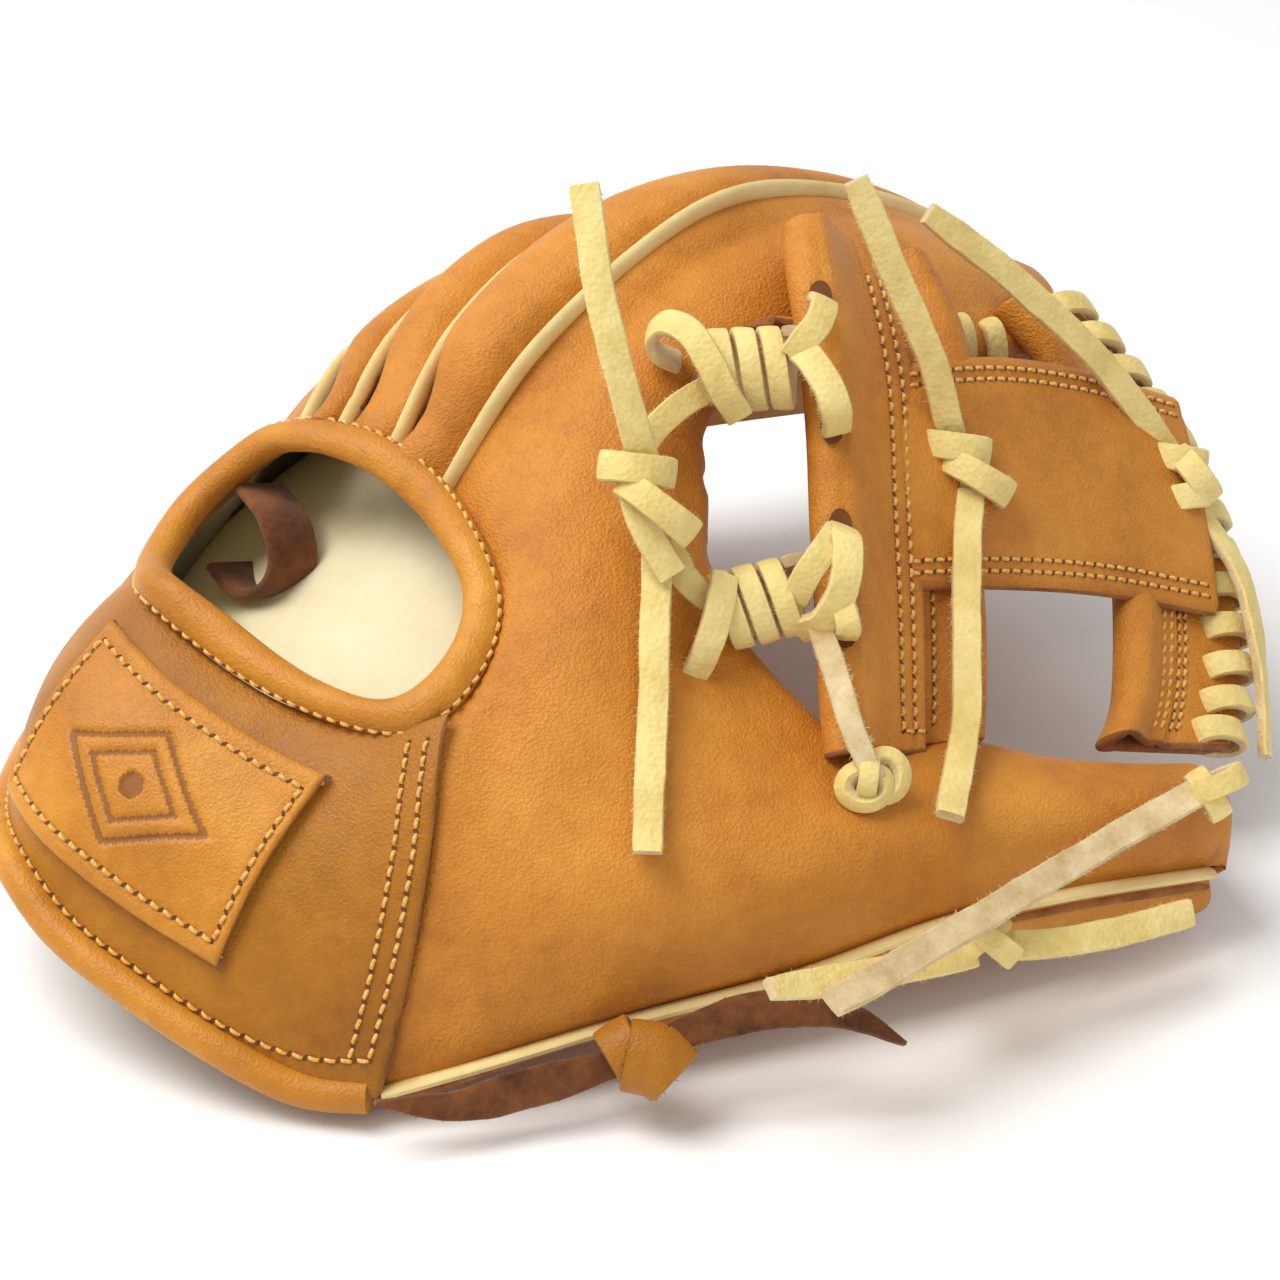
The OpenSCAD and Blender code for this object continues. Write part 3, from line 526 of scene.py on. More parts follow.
def lace(name, route, up, body, slot="cream_lace", w=6.0, t=2.2, fuzz=1.6, mats=None, taper=None,
         closed=False,
         step=1.0, wander=0.12, flip=False, hair=1.0):
    """A leather lace: grain face, napped flesh side, wandering edges and stray fibres."""
    p = even(route, step, closed) if not closed else even(np.asarray(route), step, True)
    n = len(p)
    up = np.asarray(up, float)
    if up.ndim == 2 and len(up) != n:
        at = np.linspace(0, len(up) - (0 if closed else 1), n, endpoint=not closed)
        wrap = np.concatenate([up, up[:1]]) if closed else up
        up = np.stack([np.interp(at, np.arange(len(wrap)), wrap[:, k]) for k in range(3)], 1)
    if flip:
        up = -up
    t0, side, face = frames(p, up, closed)
    if not closed:
        lean = waves(n, step, 0.10, 45)[:, None]
        side, face = unit(side + face * lean), unit(face - side * lean)
        p = p + side * waves(n, step, wander, 30)[:, None]
    width = 1 + waves(n, step, 0.02, 26)
    if closed:
        width = 1 + 0.03 * np.sin(np.arange(n) * 4 * math.pi / n + 1)
    if taper is not None:
        width = width * np.interp(np.linspace(0, 1, n), *taper)
    sec = np.array(ribbon_section(w, t))
    v = (p[:, None] + side[:, None] * (sec[None, :, :1] * width[:, None, None])
         + face[:, None] * sec[None, :, 1:])
    m = len(sec)
    f = [tuple(q) for q in grid_faces(n, m, closed, True)]
    idx = [GRAIN[q % m] for q in range(len(f))]
    verts = list(v.reshape(-1, 3))
    if not closed:
        f += [tuple(range(m)), tuple((n - 1) * m + q for q in range(m))[::-1]]
        idx += [1, 1]
    for k in range(int(fuzz * n * step * 2)):
        i = min(n - 1, int(RNG.random() * n))
        e = 1 if RNG.random() < 0.5 else -1
        base = p[i] + side[i] * e * w * 0.485 * width[i] + face[i] * t * (0.1 - 0.5 * RNG.random())
        d = unit(side[i] * e * (0.3 + RNG.random()) + t0[i] * (RNG.random() * 2 - 1)
                 + face[i] * (RNG.random() * 1.2 - 0.7))
        long = (0.4 + 1.0 * RNG.random() ** 2) * hair
        a = unit(np.cross(d, face[i] + 0.01))
        b = np.cross(d, a)
        j = len(verts)
        bend = t0[i] * (RNG.random() - 0.5) * long
        for q in range(3):
            c = 2 * math.pi * q / 3
            verts.append(base + (a * math.cos(c) + b * math.sin(c)) * 0.11)
        verts.append(base + d * long + bend * 0.7)
        f += [(j, j + 1, j + 3), (j + 1, j + 2, j + 3), (j + 2, j, j + 3), (j + 2, j + 1, j)]
        idx += [1] * 4
    o = mesh(name, verts, f, mats or [LACE, LACE_CUT], idx)
    attach(o, body)
    return o


coil_tail_up = V([11, -65, 110], [8, -61, 127], [8, -53, 145], [12, -42, 162])
coil_tail_down = V([13, -65, 99], [6.5, -74, 86.5], [-3.5, -87, 69], [-16, -103, 52.5])
post_tail_up = V([90, -64, 92], [86, -60, 112], [80, -53, 132], [75, -47, 150])
post_tail_down = V([88, -72, 86], [76, -86, 73.5], [62, -104, 57], [41.5, -124, 50.5])
top_tail_up = V([154, -64, 71], [140, -57, 93], [121, -48, 115], [101, -39, 134])
top_tail_down = V([155, -71, 62], [156, -86, 51], [150, -100, 37], [142, -112, 22])
bar_tail = V([31.5, -112.5, 57], [30.5, -106.5, 66], [32.5, -98, 74], [35.5, -88, 79.5])
thumb_tip_tail = V([97, -136, 42], [72.2, -133.4, 36], [34.1, -140, 37], [-2.8, -144.2, 36])
thumb_loop_tail_out = V([45, -138, 26], [60, -142, 24], [75, -144, 22], [89, -145, 21])
thumb_loop_tail_in = V([38, -137, 27], [21, -136.5, 30], [4.5, -135.5, 33.5], [-11.5, -136.5, 38.5])
heel_tail_in = V([-30, -112, 14], [-45, -107, 12], [-60, -102, 11], [-74, -96, 14])
heel_tail_out = V([-21, -118, 20], [-5, -125, 24], [9, -133, 22], [19, -140, 15])
HANG = np.array([-0.5, -0.7, 0.5])


def tail(node_name, route, up, body, **look):
    """A free lace end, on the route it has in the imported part."""
    o = lace(node_name + "_soft", route, up, body, **look)
    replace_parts(o, node_name)
    p = even(route, 0.5)


EVEN = ([0, 0.97, 1], [1, 1, 0.93])
POINTED = ([0, 0.25, 0.5, 0.8, 1], [0.7, 1.0, 1.0, 0.6, 0.12])
tail("coil_knot_tail_up", coil_tail_up, HANG, "hand", taper=EVEN)
tail("coil_knot_tail_down", coil_tail_down, HANG, "hand", taper=EVEN)
tail("post_knot_tail_up", post_tail_up, HANG, "hand", taper=([0, 0.9, 1], [1, 1.03, 0.8]))
tail("post_knot_tail_down", post_tail_down, HANG, "hand", taper=EVEN)
tail("top_knot_tail_up", top_tail_up, V([-0.45, -0.6, 0.65], [-0.5, -0.7, 0.5]), "hand",
     taper=([0, 0.9, 1], [1, 1, 0.8]))
tail("top_knot_tail_down", top_tail_down, V([0.2, -0.7, 0.6], [0.75, -0.45, 0.5]), "hand",
     taper=([0, 0.6, 1], [0.9, 0.95, 0.8]))
tail("bar_knot_tail", bar_tail, HANG, "hand", taper=([0, 0.5, 1], [0.9, 1.0, 1.0]), flip=True, fuzz=2.0,
     w=5.0)
tail("thumb_tip_knot_tail", thumb_tip_tail, V([-0.1, -0.6, 0.8], [0.1, -0.5, 0.85]), "thumb",
     taper=EVEN, flip=True, fuzz=1.6)
tail("thumb_loop_knot_tail_out", thumb_loop_tail_out, V([0, -0.6, 0.8], [0.1, -0.8, 0.5]), "thumb",
     taper=EVEN)
tail("thumb_loop_knot_tail_in", thumb_loop_tail_in, V([0, -0.7, 0.7], [0, -0.5, 0.85]), "thumb",
     taper=([0, 0.8, 1], [1, 1, 0.7]))
tail("heel_knot_tail_in", heel_tail_in, V([0, -0.75, 0.6], [0, -0.9, 0.3]), "thumb",
     slot="strap_leather", w=7.6, flip=True,
     mats=[STRAP, BROWN_SUEDE_AND_SHADE], taper=POINTED, hair=0.5)
tail("heel_knot_tail_out", heel_tail_out, V([0, -0.6, 0.75], [0.1, -0.9, 0.35]), "thumb",
     slot="strap_leather", w=7.6, flip=True,
     mats=[STRAP, BROWN_SUEDE_AND_SHADE], taper=POINTED, hair=0.5)


def band(name, c, axis, front, a, b, tilt, body, **look):
    """One turn of lace round a knot at c: tilt leans it, degrees, seen from the front."""
    axis, front = unit(np.array(axis, float)), unit(np.array(front, float))
    e1 = unit(np.cross(axis, front))
    e2 = unit(np.cross(e1, axis))
    t = math.radians(tilt)
    e1, axis = e1 * math.cos(t) + axis * math.sin(t), axis * math.cos(t) - e1 * math.sin(t)
    k = np.arange(28) * 2 * math.pi / 28
    out = e1[None] * (a * np.cos(k))[:, None] + e2[None] * (b * np.sin(k))[:, None]
    spread = e1[None] * (np.cos(k) / a)[:, None] + e2[None] * (np.sin(k) / b)[:, None]
    return lace(name, np.array(c, float) + out, unit(spread), body, closed=True, **look)


COIL_KNOT = (11, -66, 105)
POST_KNOT = (91, -67, 88)
BAR_KNOT = (32.3, -109.8, 55.2)
# the photograph's view: towards the camera, to its right and up
CAM = np.array([-0.497, -0.709, 0.5])
RIGHT = np.array([0.819, -0.574, 0.0])
UP = np.array([0.287, 0.41, 0.866])


def seen(c, right=0.0, up=0.0, toward=0.0):
    return np.array(c, float) + RIGHT * right + UP * up + CAM * toward


def big_knot(node_name, c, axis, body, lean=-35,
             parts=((0, 4.2, 0, 6.4, 4.6), (1.5, -3.6, None, 7.4, 5.0)), **look):
    """A tied lace: one band round the strands, one crossing it on the slant."""
    for k, (r, u, tilt, a, b) in enumerate(parts):
        o = band(node_name + "_band_%d" % k, seen(c, r, u, 1.0 + k), axis, CAM, a, b,
                 lean if tilt is None else tilt, body,
                 w=look.get("w", 6.0), t=2.3, slot=look.get("slot", "cream_lace"),
                 mats=look.get("mats"), fuzz=0.8)
        if k == 0:
            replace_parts(o, node_name)


big_knot("coil_knot", COIL_KNOT, UP, "hand", lean=-38,
         parts=((-2.8, 5.4, -7, 6.6, 5.2), (1.2, -2.0, None, 8.0, 5.4)))
lace("coil_knot_under", [seen(COIL_KNOT, -4, 3, 1), seen(COIL_KNOT, -2, -4, 2.5),
                         seen(COIL_KNOT, 1, -10, 1.5),
                         seen(COIL_KNOT, 4, -15, 0)], CAM, "hand")
big_knot("post_knot", POST_KNOT, UP, "hand", lean=-30,
         parts=((-3.0, 4.6, -8, 7.0, 5.2), (1.6, -1.4, None, 7.6, 5.4)))
lace("post_knot_under", [seen(POST_KNOT, -5, 2, 1), seen(POST_KNOT, -2, -5, 3),
                         seen(POST_KNOT, 1, -10, 2)], CAM, "hand", fuzz=2.0)
big_knot("top_knot", (155, -67, 67), UP + RIGHT * 0.3, "hand", lean=32,
         parts=((-2.2, 4.4, 8, 6.4, 4.6), (1.8, 0.6, -36, 6.0, 5.4), (-1.4, -4.2, 26, 5.6, 4.0)))
big_knot("bar_knot", BAR_KNOT, UP, "hand", parts=((-0.2, 0.6, 84, 3.4, 3.6),), w=4.0)
ring_a = np.arange(26) * 2 * math.pi / 26
for k, (r, u, a, b) in enumerate(((-0.8, -1.4, 4.2, 3.4), (3.2, 0.6, 3.4, 4.0))):
    c = seen(BAR_KNOT, r, u, 2.2 - 1.4 * k)
    flat = RIGHT[None] * (a * np.cos(ring_a))[:, None] + UP[None] * (b * np.sin(ring_a))[:, None]
    lace("bar_knot_ring_%d" % k, c + flat, unit(flat * 0.8 + CAM * 2.6), "hand", w=3.4, t=2.6,
         closed=True, fuzz=0.8)
big_knot("thumb_tip_knot", (101.2, -135.4, 40.6), UP, "thumb",
         parts=((-0.6, -0.8, -58, 4.6, 3.8), (1.0, 1.4, 24, 5.2, 4.2)), w=4.8)
big_knot("thumb_loop_knot", (42, -135, 27), UP, "thumb", lean=25,
         parts=((-1.0, 0.8, 40, 6.0, 4.0), (1.4, 0.6, -38, 5.6, 4.6)), w=5.2)
big_knot("heel_knot", (-25.1, -114.8, 15.6), RIGHT, "thumb",
         parts=((-3.2, 0.6, 32, 5.6, 4.6), (0.2, -0.2, -10, 6.0, 5.2), (3.4, -1.2, -44, 5.6, 4.4)),
         w=7.4,
         slot="strap_leather", mats=[STRAP, BROWN_SUEDE_AND_SHADE])


def helix(axis, turns, a, b, start, fwd):
    """Lace wound round an axis, seen from the front."""
    p0, p1 = np.array(axis[0], float), np.array(axis[1], float)
    d = unit(p1 - p0)
    top = unit(UP - d * (UP @ d))
    front = unit(np.cross(top, d))
    front = front if front @ CAM > 0 else -front
    n = int(turns * 26)
    ang = math.radians(start) + fwd * np.linspace(0, 2 * math.pi * turns, n)
    r = top[None] * (a * np.cos(ang))[:, None] + front[None] * (b * np.sin(ang))[:, None]
    out = top[None] * (np.cos(ang) / a)[:, None] + front[None] * (np.sin(ang) / b)[:, None]
    return p0 + (p1 - p0)[None] * np.linspace(0, 1, n)[:, None] + r, unit(out)


def looped(name, route, centre, body="hand", **look):
    """A loop of lace whose grain faces away from centre."""
    route = np.array(route, float)
    return lace(name, route, unit(route - np.array(centre, float)), body, **look)


upper_axis = V([41.0, -46.5, 116.6], [54.0, -55.2, 117.2])
h, out = helix(upper_axis, 3.0, 7.4, 5.8, 0, 1)
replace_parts(lace("upper_coil_wound", h, out, "hand", w=4.4, wander=0.0), "upper_coil")
looped("upper_coil_curl", V([39.5, -56.5, 110.8], [36.4, -55.6, 116.0], [35.2, -51.6, 121.9],
                            [34.8, -46.0, 126.0],
                            [33.5, -39.7, 126.6], [32.1, -36.1, 123.0], [33.3, -35.8, 118.8],
                            [37.5, -38.0, 116.0]),
       (43, -42, 116), w=5.8)
looped("upper_coil_end", V([50.9, -58.5, 121.8], [53.0, -59.9, 125.7], [56.0, -60.1, 128.5],
                           [59.8, -57.0, 130.2], [64.0, -50.5, 127.5]),
       (60, -45, 115), w=5.8)
looped("upper_coil_strap", V([53.1, -56.5, 122.6], [52.2, -62.4, 122.2], [52.8, -67.6, 118.4],
                             [53.2, -70.2, 113.4], [56.6, -66.0, 106.5]),
       (60, -55, 112), w=6.2)
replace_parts(looped("upper_strand", V([18.5, -47.0, 101.0], [21.9, -46.9, 104.6], [24.6, -48.6, 109.4],
                                     [29.2, -49.6, 113.2], [37.0, -48.6, 114.4]),
                   (31, -38, 104), w=5.6), "coil_core")
lower_axis = V([23.0, -74.4, 79.6], [36.4, -81.6, 82.6])
h, out = helix(lower_axis, 3.0, 7.0, 5.6, 10, 1)
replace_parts(lace("lower_coil_wound", h, out, "hand", w=4.4, wander=0.0), "lower_coil")
looped("lower_coil_curl", V([22.4, -74.9, 88.0], [18.8, -78.6, 85.2], [15.6, -80.6, 80.0],
                            [12.9, -80.6, 74.2], [11.2, -78.0, 69.8],
                            [11.8, -73.3, 70.0], [15.2, -70.8, 72.0], [19.9, -70.6, 74.0]),
       (20, -70, 78), w=5.8)
looped("lower_coil_end", V([33.2, -85.0, 77.0], [34.9, -90.6, 80.8], [37.2, -92.8, 86.2],
                           [39.6, -92.0, 91.6], [43.0, -87.5, 95.0], [48.0, -79.5, 92.5]),
       (44, -78, 82), w=6.2)
looped("lower_coil_strap", V([32.9, -84.2, 83.5], [34.2, -86.4, 89.7], [37.6, -86.6, 94.0],
                             [44.0, -82.5, 94.5]), (42, -74, 84), w=5.6)
looped("lower_coil_small", V([40.5, -88.0, 84.0], [38.0, -93.5, 84.0], [37.6, -95.6, 80.8],
                             [40.0, -91.5, 76.5]), (44, -86, 80), w=5.0)
looped("lower_strand", V([14.8, -64.0, 93.5], [15.2, -67.8, 91.3], [15.4, -71.2, 88.0],
                         [19.5, -73.6, 83.2]), (26, -62, 80), w=5.4)

# ---------------------------------------------------------------- leather panels
def strip_grid(a, b, nu, vs, bulge, gap=(1.0, 1.0), dip=1.8, ends=1.0, rows=None, power=1.0):
    """Panel between edges a and b, rounded by bulge and rolled down into the seams at both edges."""
    s = (np.linspace(0, 1, nu) if rows is None else rows) * (len(a) - 1)
    p, q = cat(a, s), cat(b, s)
    along = unit(np.gradient(p + q, axis=0))
    out, cross = unit(np.cross(along, q - p)), unit(q - p)
    for _ in range(40):
        out[1:-1] = unit(out[:-2] + 2 * out[1:-1] + out[2:])
    width = np.linalg.norm(q - p, axis=1)
    h = bulge if np.ndim(bulge) else np.full(len(s), float(bulge))
    if len(h) != len(s):
        h = np.interp(s, np.linspace(0, len(a) - 1, len(h)), h)
    h = h * (ends + (1 - ends) * np.sin(np.pi * s / (len(a) - 1)))
    v = vs[None, :, None]
    lo, hi = (p + cross * gap[0])[:, None], (q - cross * gap[1])[:, None]
    g = lo + (hi - lo) * v
    shape = np.sin(np.pi * vs) ** power
    g = g + out[:, None] * (h[:, None] * shape[None])[..., None]
    from_a, from_b = vs[None] * width[:, None], (1 - vs[None]) * width[:, None]
    d = [dip, dip] if np.ndim(dip) == 0 else dip
    sink = d[0] * np.exp(-((from_a / 2.2) ** 2)) + d[1] * np.exp(-((from_b / 2.2) ** 2))
    return g - out[:, None] * sink[..., None]


def add_cap(g, ahead=6.0, depth=13.0, steps=6):
    """Carries the last rows of a finger panel round its tip."""
    n = normals(g)[-1]
    a = unit(g[-1] - g[-2]).mean(0)
    a = unit(a)
    rows = []
    for k in range(1, steps + 1):
        b = math.pi * k / steps / 1.15
        rows.append(g[-1] + a * ahead * math.sin(b) - n * depth / 2 * (1 - math.cos(b)))
    return np.concatenate([g, np.stack(rows)])


LIP = 7  # columns of the rolled lip


def add_lip(g, radius=4.5, turn=165, steps=LIP):
    """Rolls the first column of a panel over and under."""
    n = normals(g)[:, 0]
    away = unit(g[:, 0] - g[:, 1])
    cols = []
    for k in range(steps, 0, -1):
        b = math.radians(turn * k / steps)
        cols.append(g[:, 0] + away * radius * math.sin(b) - n * radius * (1 - math.cos(b)))
    return np.concatenate([np.stack(cols, 1), g], 1)


VS = edge_steps(26)
u_outer = np.concatenate([thumb_outer, hand_outer[1:]])
u_inner = np.concatenate([thumb_inner, hand_inner[1:]])
U_BULGE = [9, 12, 13, 14, 15, 15, 15, 13, 11, 9, 8, 8, 8, 8, 8, 8, 8, 8, 7]


def relax(g, passes, hold):
    """Evens out a panel along its rows, less where hold is small."""
    g = g.copy()
    for _ in range(passes):
        g[1:-1] += 0.5 * hold[None, :, None] * ((g[:-2] + g[2:]) / 2 - g[1:-1])
    return g


def big_panel():
    rows = np.linspace(0, 1, 150)
    g = strip_grid(u_inner, u_outer, 150, VS, U_BULGE, gap=(0, 1.0), dip=(0, 1.8), rows=rows, power=0.9)
    g = relax(g, 160, np.clip(np.sin(np.pi * VS) * 2.2, 0, 1))
    g = add_cap(g)
    g = add_lip(g)
    return g


U_GRID = big_panel()
finished(sheet("back_thumb_and_index", U_GRID, 2.2, TWO_GRAINS), "fold", "tan_leather", "thumb_back",
         "hand_back")


FINGERS = ((1, "middle"), (2, "ring"), (3, "little"))


def finger_grid(c, nu=46, nv=22, rise=4.5):
    us = np.linspace(3, 9, nu)
    vs = c + 0.045 + edge_steps(nv, 0.03) * 0.91
    g = surface(back_net, us, vs)
    w = (vs - vs[0]) / (vs[-1] - vs[0])
    flat = g[:, :1] * (1 - w)[None, :, None] + g[:, -1:] * w[None, :, None]
    keep = {1: 1.0, 2: 0.7, 3: 0.25}[c]
    g = flat + (g - flat) * keep
    n = normals(g)
    width = np.linalg.norm(g[:, -1] - g[:, 0], axis=1)
    start = np.clip((us - 3) / {1: 0.8, 2: 1.2, 3: 2.5}[c], 0.3, 1)
    bump = rise * np.sin(np.pi * w)[None] ** 0.8 * start[:, None]
    fa, fb = w[None] * width[:, None], (1 - w[None]) * width[:, None]
    bump = bump - 1.6 * np.exp(-((fa / 1.8) ** 2)) - 1.6 * np.exp(-((fb / 1.8) ** 2))
    return add_cap(g + n * bump[..., None])


# the finger backs' inner faces are painted dark brown as the shade inside the glove
for c, name in FINGERS:
    finished(sheet("back_" + name, finger_grid(c), 2.2, [TAN, INNER_SHADE, TAN_CUT]), "hand", "tan_leather",
             name + "_back")
SIDE_GRID = strip_grid(pinky_upper, pinky_lower, 60, VS, 11, dip=1.6, ends=0.35)
finished(sheet("side_little", SIDE_GRID, 2.2, [TAN, LINING, TAN_CUT]), "hand", "tan_leather",
         "little_side")

# palm: hand part and thumb part meet at the crease
def palm_surface():
    us, vs = np.linspace(0, 9.1, 60), np.linspace(0.0, 5, 60)
    stack = np.stack([cat(c, us) for c in palm_net], 0)
    rows = []
    for k, u in enumerate(us):
        back = 0.42 * math.exp(-(((u - 4.6) / 1.3) ** 4))
        rows.append(cat(stack[:, k], vs + back * (1 - vs / 5)))
    return np.stack(rows)


PALM = palm_surface()
finished(sheet("palm", PALM, 2.4, [FELT, TAN, TAN_CUT]), "fold", "tan_leather", "palm_leather")


def thumb_palm_grid(nu=44, nv=26):
    s = np.linspace(0, 6, nu)
    p, q = cat(thumb_inner, s), cat(thumb_outer, s)
    along = unit(np.gradient(q, axis=0))
    out = unit(np.cross(along, q - p))
    v = np.linspace(0, 1, nv)
    cross = unit(q - p)
    g = (p - out * 12)[:, None] * (1 - v)[None, :, None] + (q - out * 4)[:, None] * v[None, :, None]
    g = g - out[:, None] * (8 * np.sin(np.pi * v))[None, :, None]
    # the outer margin bulges out below the welt before it turns under
    m = np.exp(-(((v - 0.93) / 0.08) ** 2))
    return g + cross[:, None] * (2.5 * m)[None, :, None]


T_PALM = thumb_palm_grid()
finished(sheet("palm_thumb", T_PALM, 2.4, [FELT, TAN, TAN_CUT]), "fold", "tan_leather", "thumb_palm")


def resampled(p, n):
    """n points evenly spaced along a polyline."""
    run = np.concatenate([[0], np.cumsum(np.linalg.norm(np.diff(p, axis=0), axis=1))])
    at = np.linspace(0, run[-1], n)
    return np.stack([np.interp(at, run, p[:, k]) for k in range(3)], 1)


def closing(name, a, b, out, body):
    """A leather wall that closes the shell between edges a and b, rounded by out."""
    n = max(len(a), len(b))
    p, q = resampled(np.asarray(a), n), resampled(np.asarray(b), n)
    v = np.linspace(0, 1, 10)
    g = p[:, None] + (q - p)[:, None] * v[None, :, None]
    g = g + np.array(out, float) * np.sin(np.pi * v)[None, :, None] ** 0.7
    return finished(sheet(name, g, 1.8, TWO_GRAINS), body, "tan_leather")


def thumb_edge(depth=11.0, end=4.4):
    """Palm leather that shows below the thumb's welt, deepest at the tip."""
    s = np.linspace(0, end, 50)
    v = np.linspace(0, 1, 12)
    top = cat(thumb_outer, s) + [-0.2, 1.0, -3.0]
    deep = depth * (1 - s / end)[:, None] ** 0.8 + 0.8
    low = top + deep * [0.0, 0.35, -1.0]
    g = top[:, None] + (low - top)[:, None] * v[None, :, None]
    return g + (np.sin(np.pi * v)[None] * deep * 0.24)[..., None] * np.array([0.1, -0.95, -0.2])


finished(sheet("thumb_edge", thumb_edge(), 1.8, TWO_GRAINS), "thumb", "tan_leather")
closing("wall_thumb_tip", U_GRID[0], T_PALM[0], (5.0, -1.0, 0.0), "fold")
closing("wall_thumb_side", U_GRID[:50, 0], T_PALM[:, 0], (0.8, 2.6, -0.6), "fold")
closing("wall_index_side", U_GRID[114:150, 0], PALM[44:, 0], (0.3, -1.5, 0.0), "hand")
closing("wall_index_tip", U_GRID[-1, LIP:], PALM[-1, :12], (3.0, 0.0, -2.0), "hand")
for c, name in FINGERS:
    closing("wall_tip_" + name, finger_grid(c)[-1], PALM[-1, 12 * c - 1:12 * c + 12], (2.0, 0.0, -1.5),
            "hand")


# ---------------------------------------------------------------- linings and padding
def trimmed(g, k=2):
    return g[k:-k, k:-k]


def lift(g, d):
    return g + normals(g) * d


finished(sheet("lining_palm", trimmed(lift(PALM[:, 3:52], 4.4), 1), 1.2, LINED), "fold", "cream_lining",
         "palm_lining")
finished(sheet("lining_thumb", trimmed(lift(T_PALM, 4.4), 3), 1.2, LINED), "fold", "cream_lining",
         "thumb_lining")
pad = finished(sheet("padding_palm", trimmed(lift(PALM[:34, 4:50], 2.7), 2), 2.2, PADDED), "fold",
               "felt_grey", "palm_pad")
pad = finished(sheet("padding_thumb", trimmed(lift(T_PALM, 2.7), 4), 2.2, PADDED), "fold", "felt_grey",
               "thumb_pad")
BACK_LINE = lift(surface(back_net, np.linspace(3.5, 8.4, 40), np.linspace(0.35, 2.9, 40)), -5.5)
# the back lining is painted dark brown as the shade inside the glove
finished(sheet("lining_back", BACK_LINE, 1.2, [INNER_SHADE] * 3), "hand", "cream_lining", "back_lining")


# ---------------------------------------------------------------- wrist strap
def strap_grid():
    vs = edge_steps(26)
    g = strip_grid(strap_top, strap_low, 110, vs, 7, gap=(0.5, 0.5), dip=(0.5, 1.0), ends=0.3)
    s = np.linspace(0, 1, 110)
    seam = cat(hand_outer, np.linspace(3, 0, len(vs)))
    n = unit(normals(g)[0])
    k = np.clip(1 - s / 0.22, 0, 1)[:, None, None] ** 2
    lapped = seam + n * 1.6 + unit(g[0] - g[3]) * 1.8
    g = g + (lapped - g[0])[None] * k * (3 - 2 * k)
    # the corner runs on under the binding of the hand opening
    tuck = np.exp(-((s / 0.14) ** 2))[:, None] * np.exp(-((vs / 0.09) ** 2))[None]
    return (g + unit(g[:, :1] - g[:, 4:5]) * (3.0 * tuck)[..., None]
            - normals(g) * (0.8 * tuck)[..., None])


STRAP_G = strap_grid()
finished(sheet("strap", STRAP_G, 2.6, [STRAP, LINING, TAN_CUT]), "hand", "strap_leather", "wrist_strap")
finished(sheet("lining_strap", trimmed(lift(STRAP_G, -3.2), 3), 1.2, LINED), "hand", "cream_lining",
         "strap_lining")


def on_grid(g, rows, cols, h=0.0):
    """Points on a panel at fractional rows and columns, lifted by h, and the normals there."""
    n = normals(g)
    r = np.asarray(rows, float) * (g.shape[0] - 1)
    c = np.asarray(cols, float) * (g.shape[1] - 1)
    r, c = np.broadcast_arrays(r, c)
    i, j = np.clip(r.astype(int), 0, g.shape[0] - 2), np.clip(c.astype(int), 0, g.shape[1] - 2)
    fr, fc = (r - i)[:, None], (c - j)[:, None]
    mix = lambda a: (a[i, j] * (1 - fr) * (1 - fc) + a[i + 1, j] * fr * (1 - fc)
                     + a[i, j + 1] * (1 - fr) * fc + a[i + 1, j + 1] * fr * fc)
    nn = unit(mix(n))
    return mix(g) + nn * h, nn


def inset_row(g, dist, cols):
    """A row of points dist in from the first row of a panel."""
    rows = []
    for c in cols:
        line, _ = on_grid(g, np.linspace(0, 0.3, 60), np.full(60, c))
        run = np.concatenate([[0], np.cumsum(np.linalg.norm(np.diff(line, axis=0), axis=1))])
        rows.append(np.interp(dist, run, np.linspace(0, 0.3, 60)))
    return np.array(rows)


cols = np.linspace(0.06, 0.885, 83)
for k, d in enumerate((3.2, 7.2)):
    p, n = on_grid(STRAP_G, inset_row(STRAP_G, d, cols), cols)
    stitches("stitch_strap_seam_%d" % k, p, n, "hand")
rows = np.linspace(0.03, 0.97, 160)
p, n = on_grid(STRAP_G, rows, np.full(160, 0.885))
stitches("stitch_heel", p, n, "hand", pitch=3.3, length=2.7)

# heel binding, rolled along the bottom of the strap
p = even(strap_low, 1.6)
top = cat(strap_top, np.linspace(0, 10, len(p)))
down = unit(p - top)
axis_out = unit(np.cross(down, unit(np.gradient(p, axis=0))))
sec = ellipse(3.5, 3.3, 18)
finished(sweep("binding_heel", p + down * 0.8, sec, axis_out, [ROLL]), "hand", "strap_leather",
         "heel_binding")

# ---------------------------------------------------------------- opening binding
OPENING_MIDDLE = np.array([-37.0, -15.0, 82.0])


def rim_binding():
    p = even(rim, 1.6, True)
    n = unit(np.stack([np.full(len(p), -0.68), (p[:, 1] + 15) / 48 * 0.65, np.full(len(p), 0.72)], 1))
    o = p - OPENING_MIDDLE
    o = unit(o - n * (o * n).sum(1, keepdims=True))
    t = unit(np.roll(p, -1, 0) - np.roll(p, 1, 0))
    sec = [(-3.7 + 4.4 * math.cos(a), 0.4 + 3.6 * math.sin(a))
           for a in np.linspace(0, 2 * math.pi, 22, endpoint=False)]
    if (np.cross(t, n) * o).sum() < 0:  # keep the faces turned outwards
        p, n, o, t = p[::-1], n[::-1], o[::-1], -t[::-1]
    sec = np.array(sec)
    v = p[:, None] + o[:, None] * sec[None, :, :1] + n[:, None] * sec[None, :, 1:]
    ob = mesh("binding_opening", v.reshape(-1, 3), grid_faces(len(p), len(sec), True, True), [ROLL])
    finished(ob, "hand", "tan_leather", "opening_binding")
    edge = p + o * 0.05 + n * 2.0
    return edge, unit(n * 0.75 + o * 0.65)


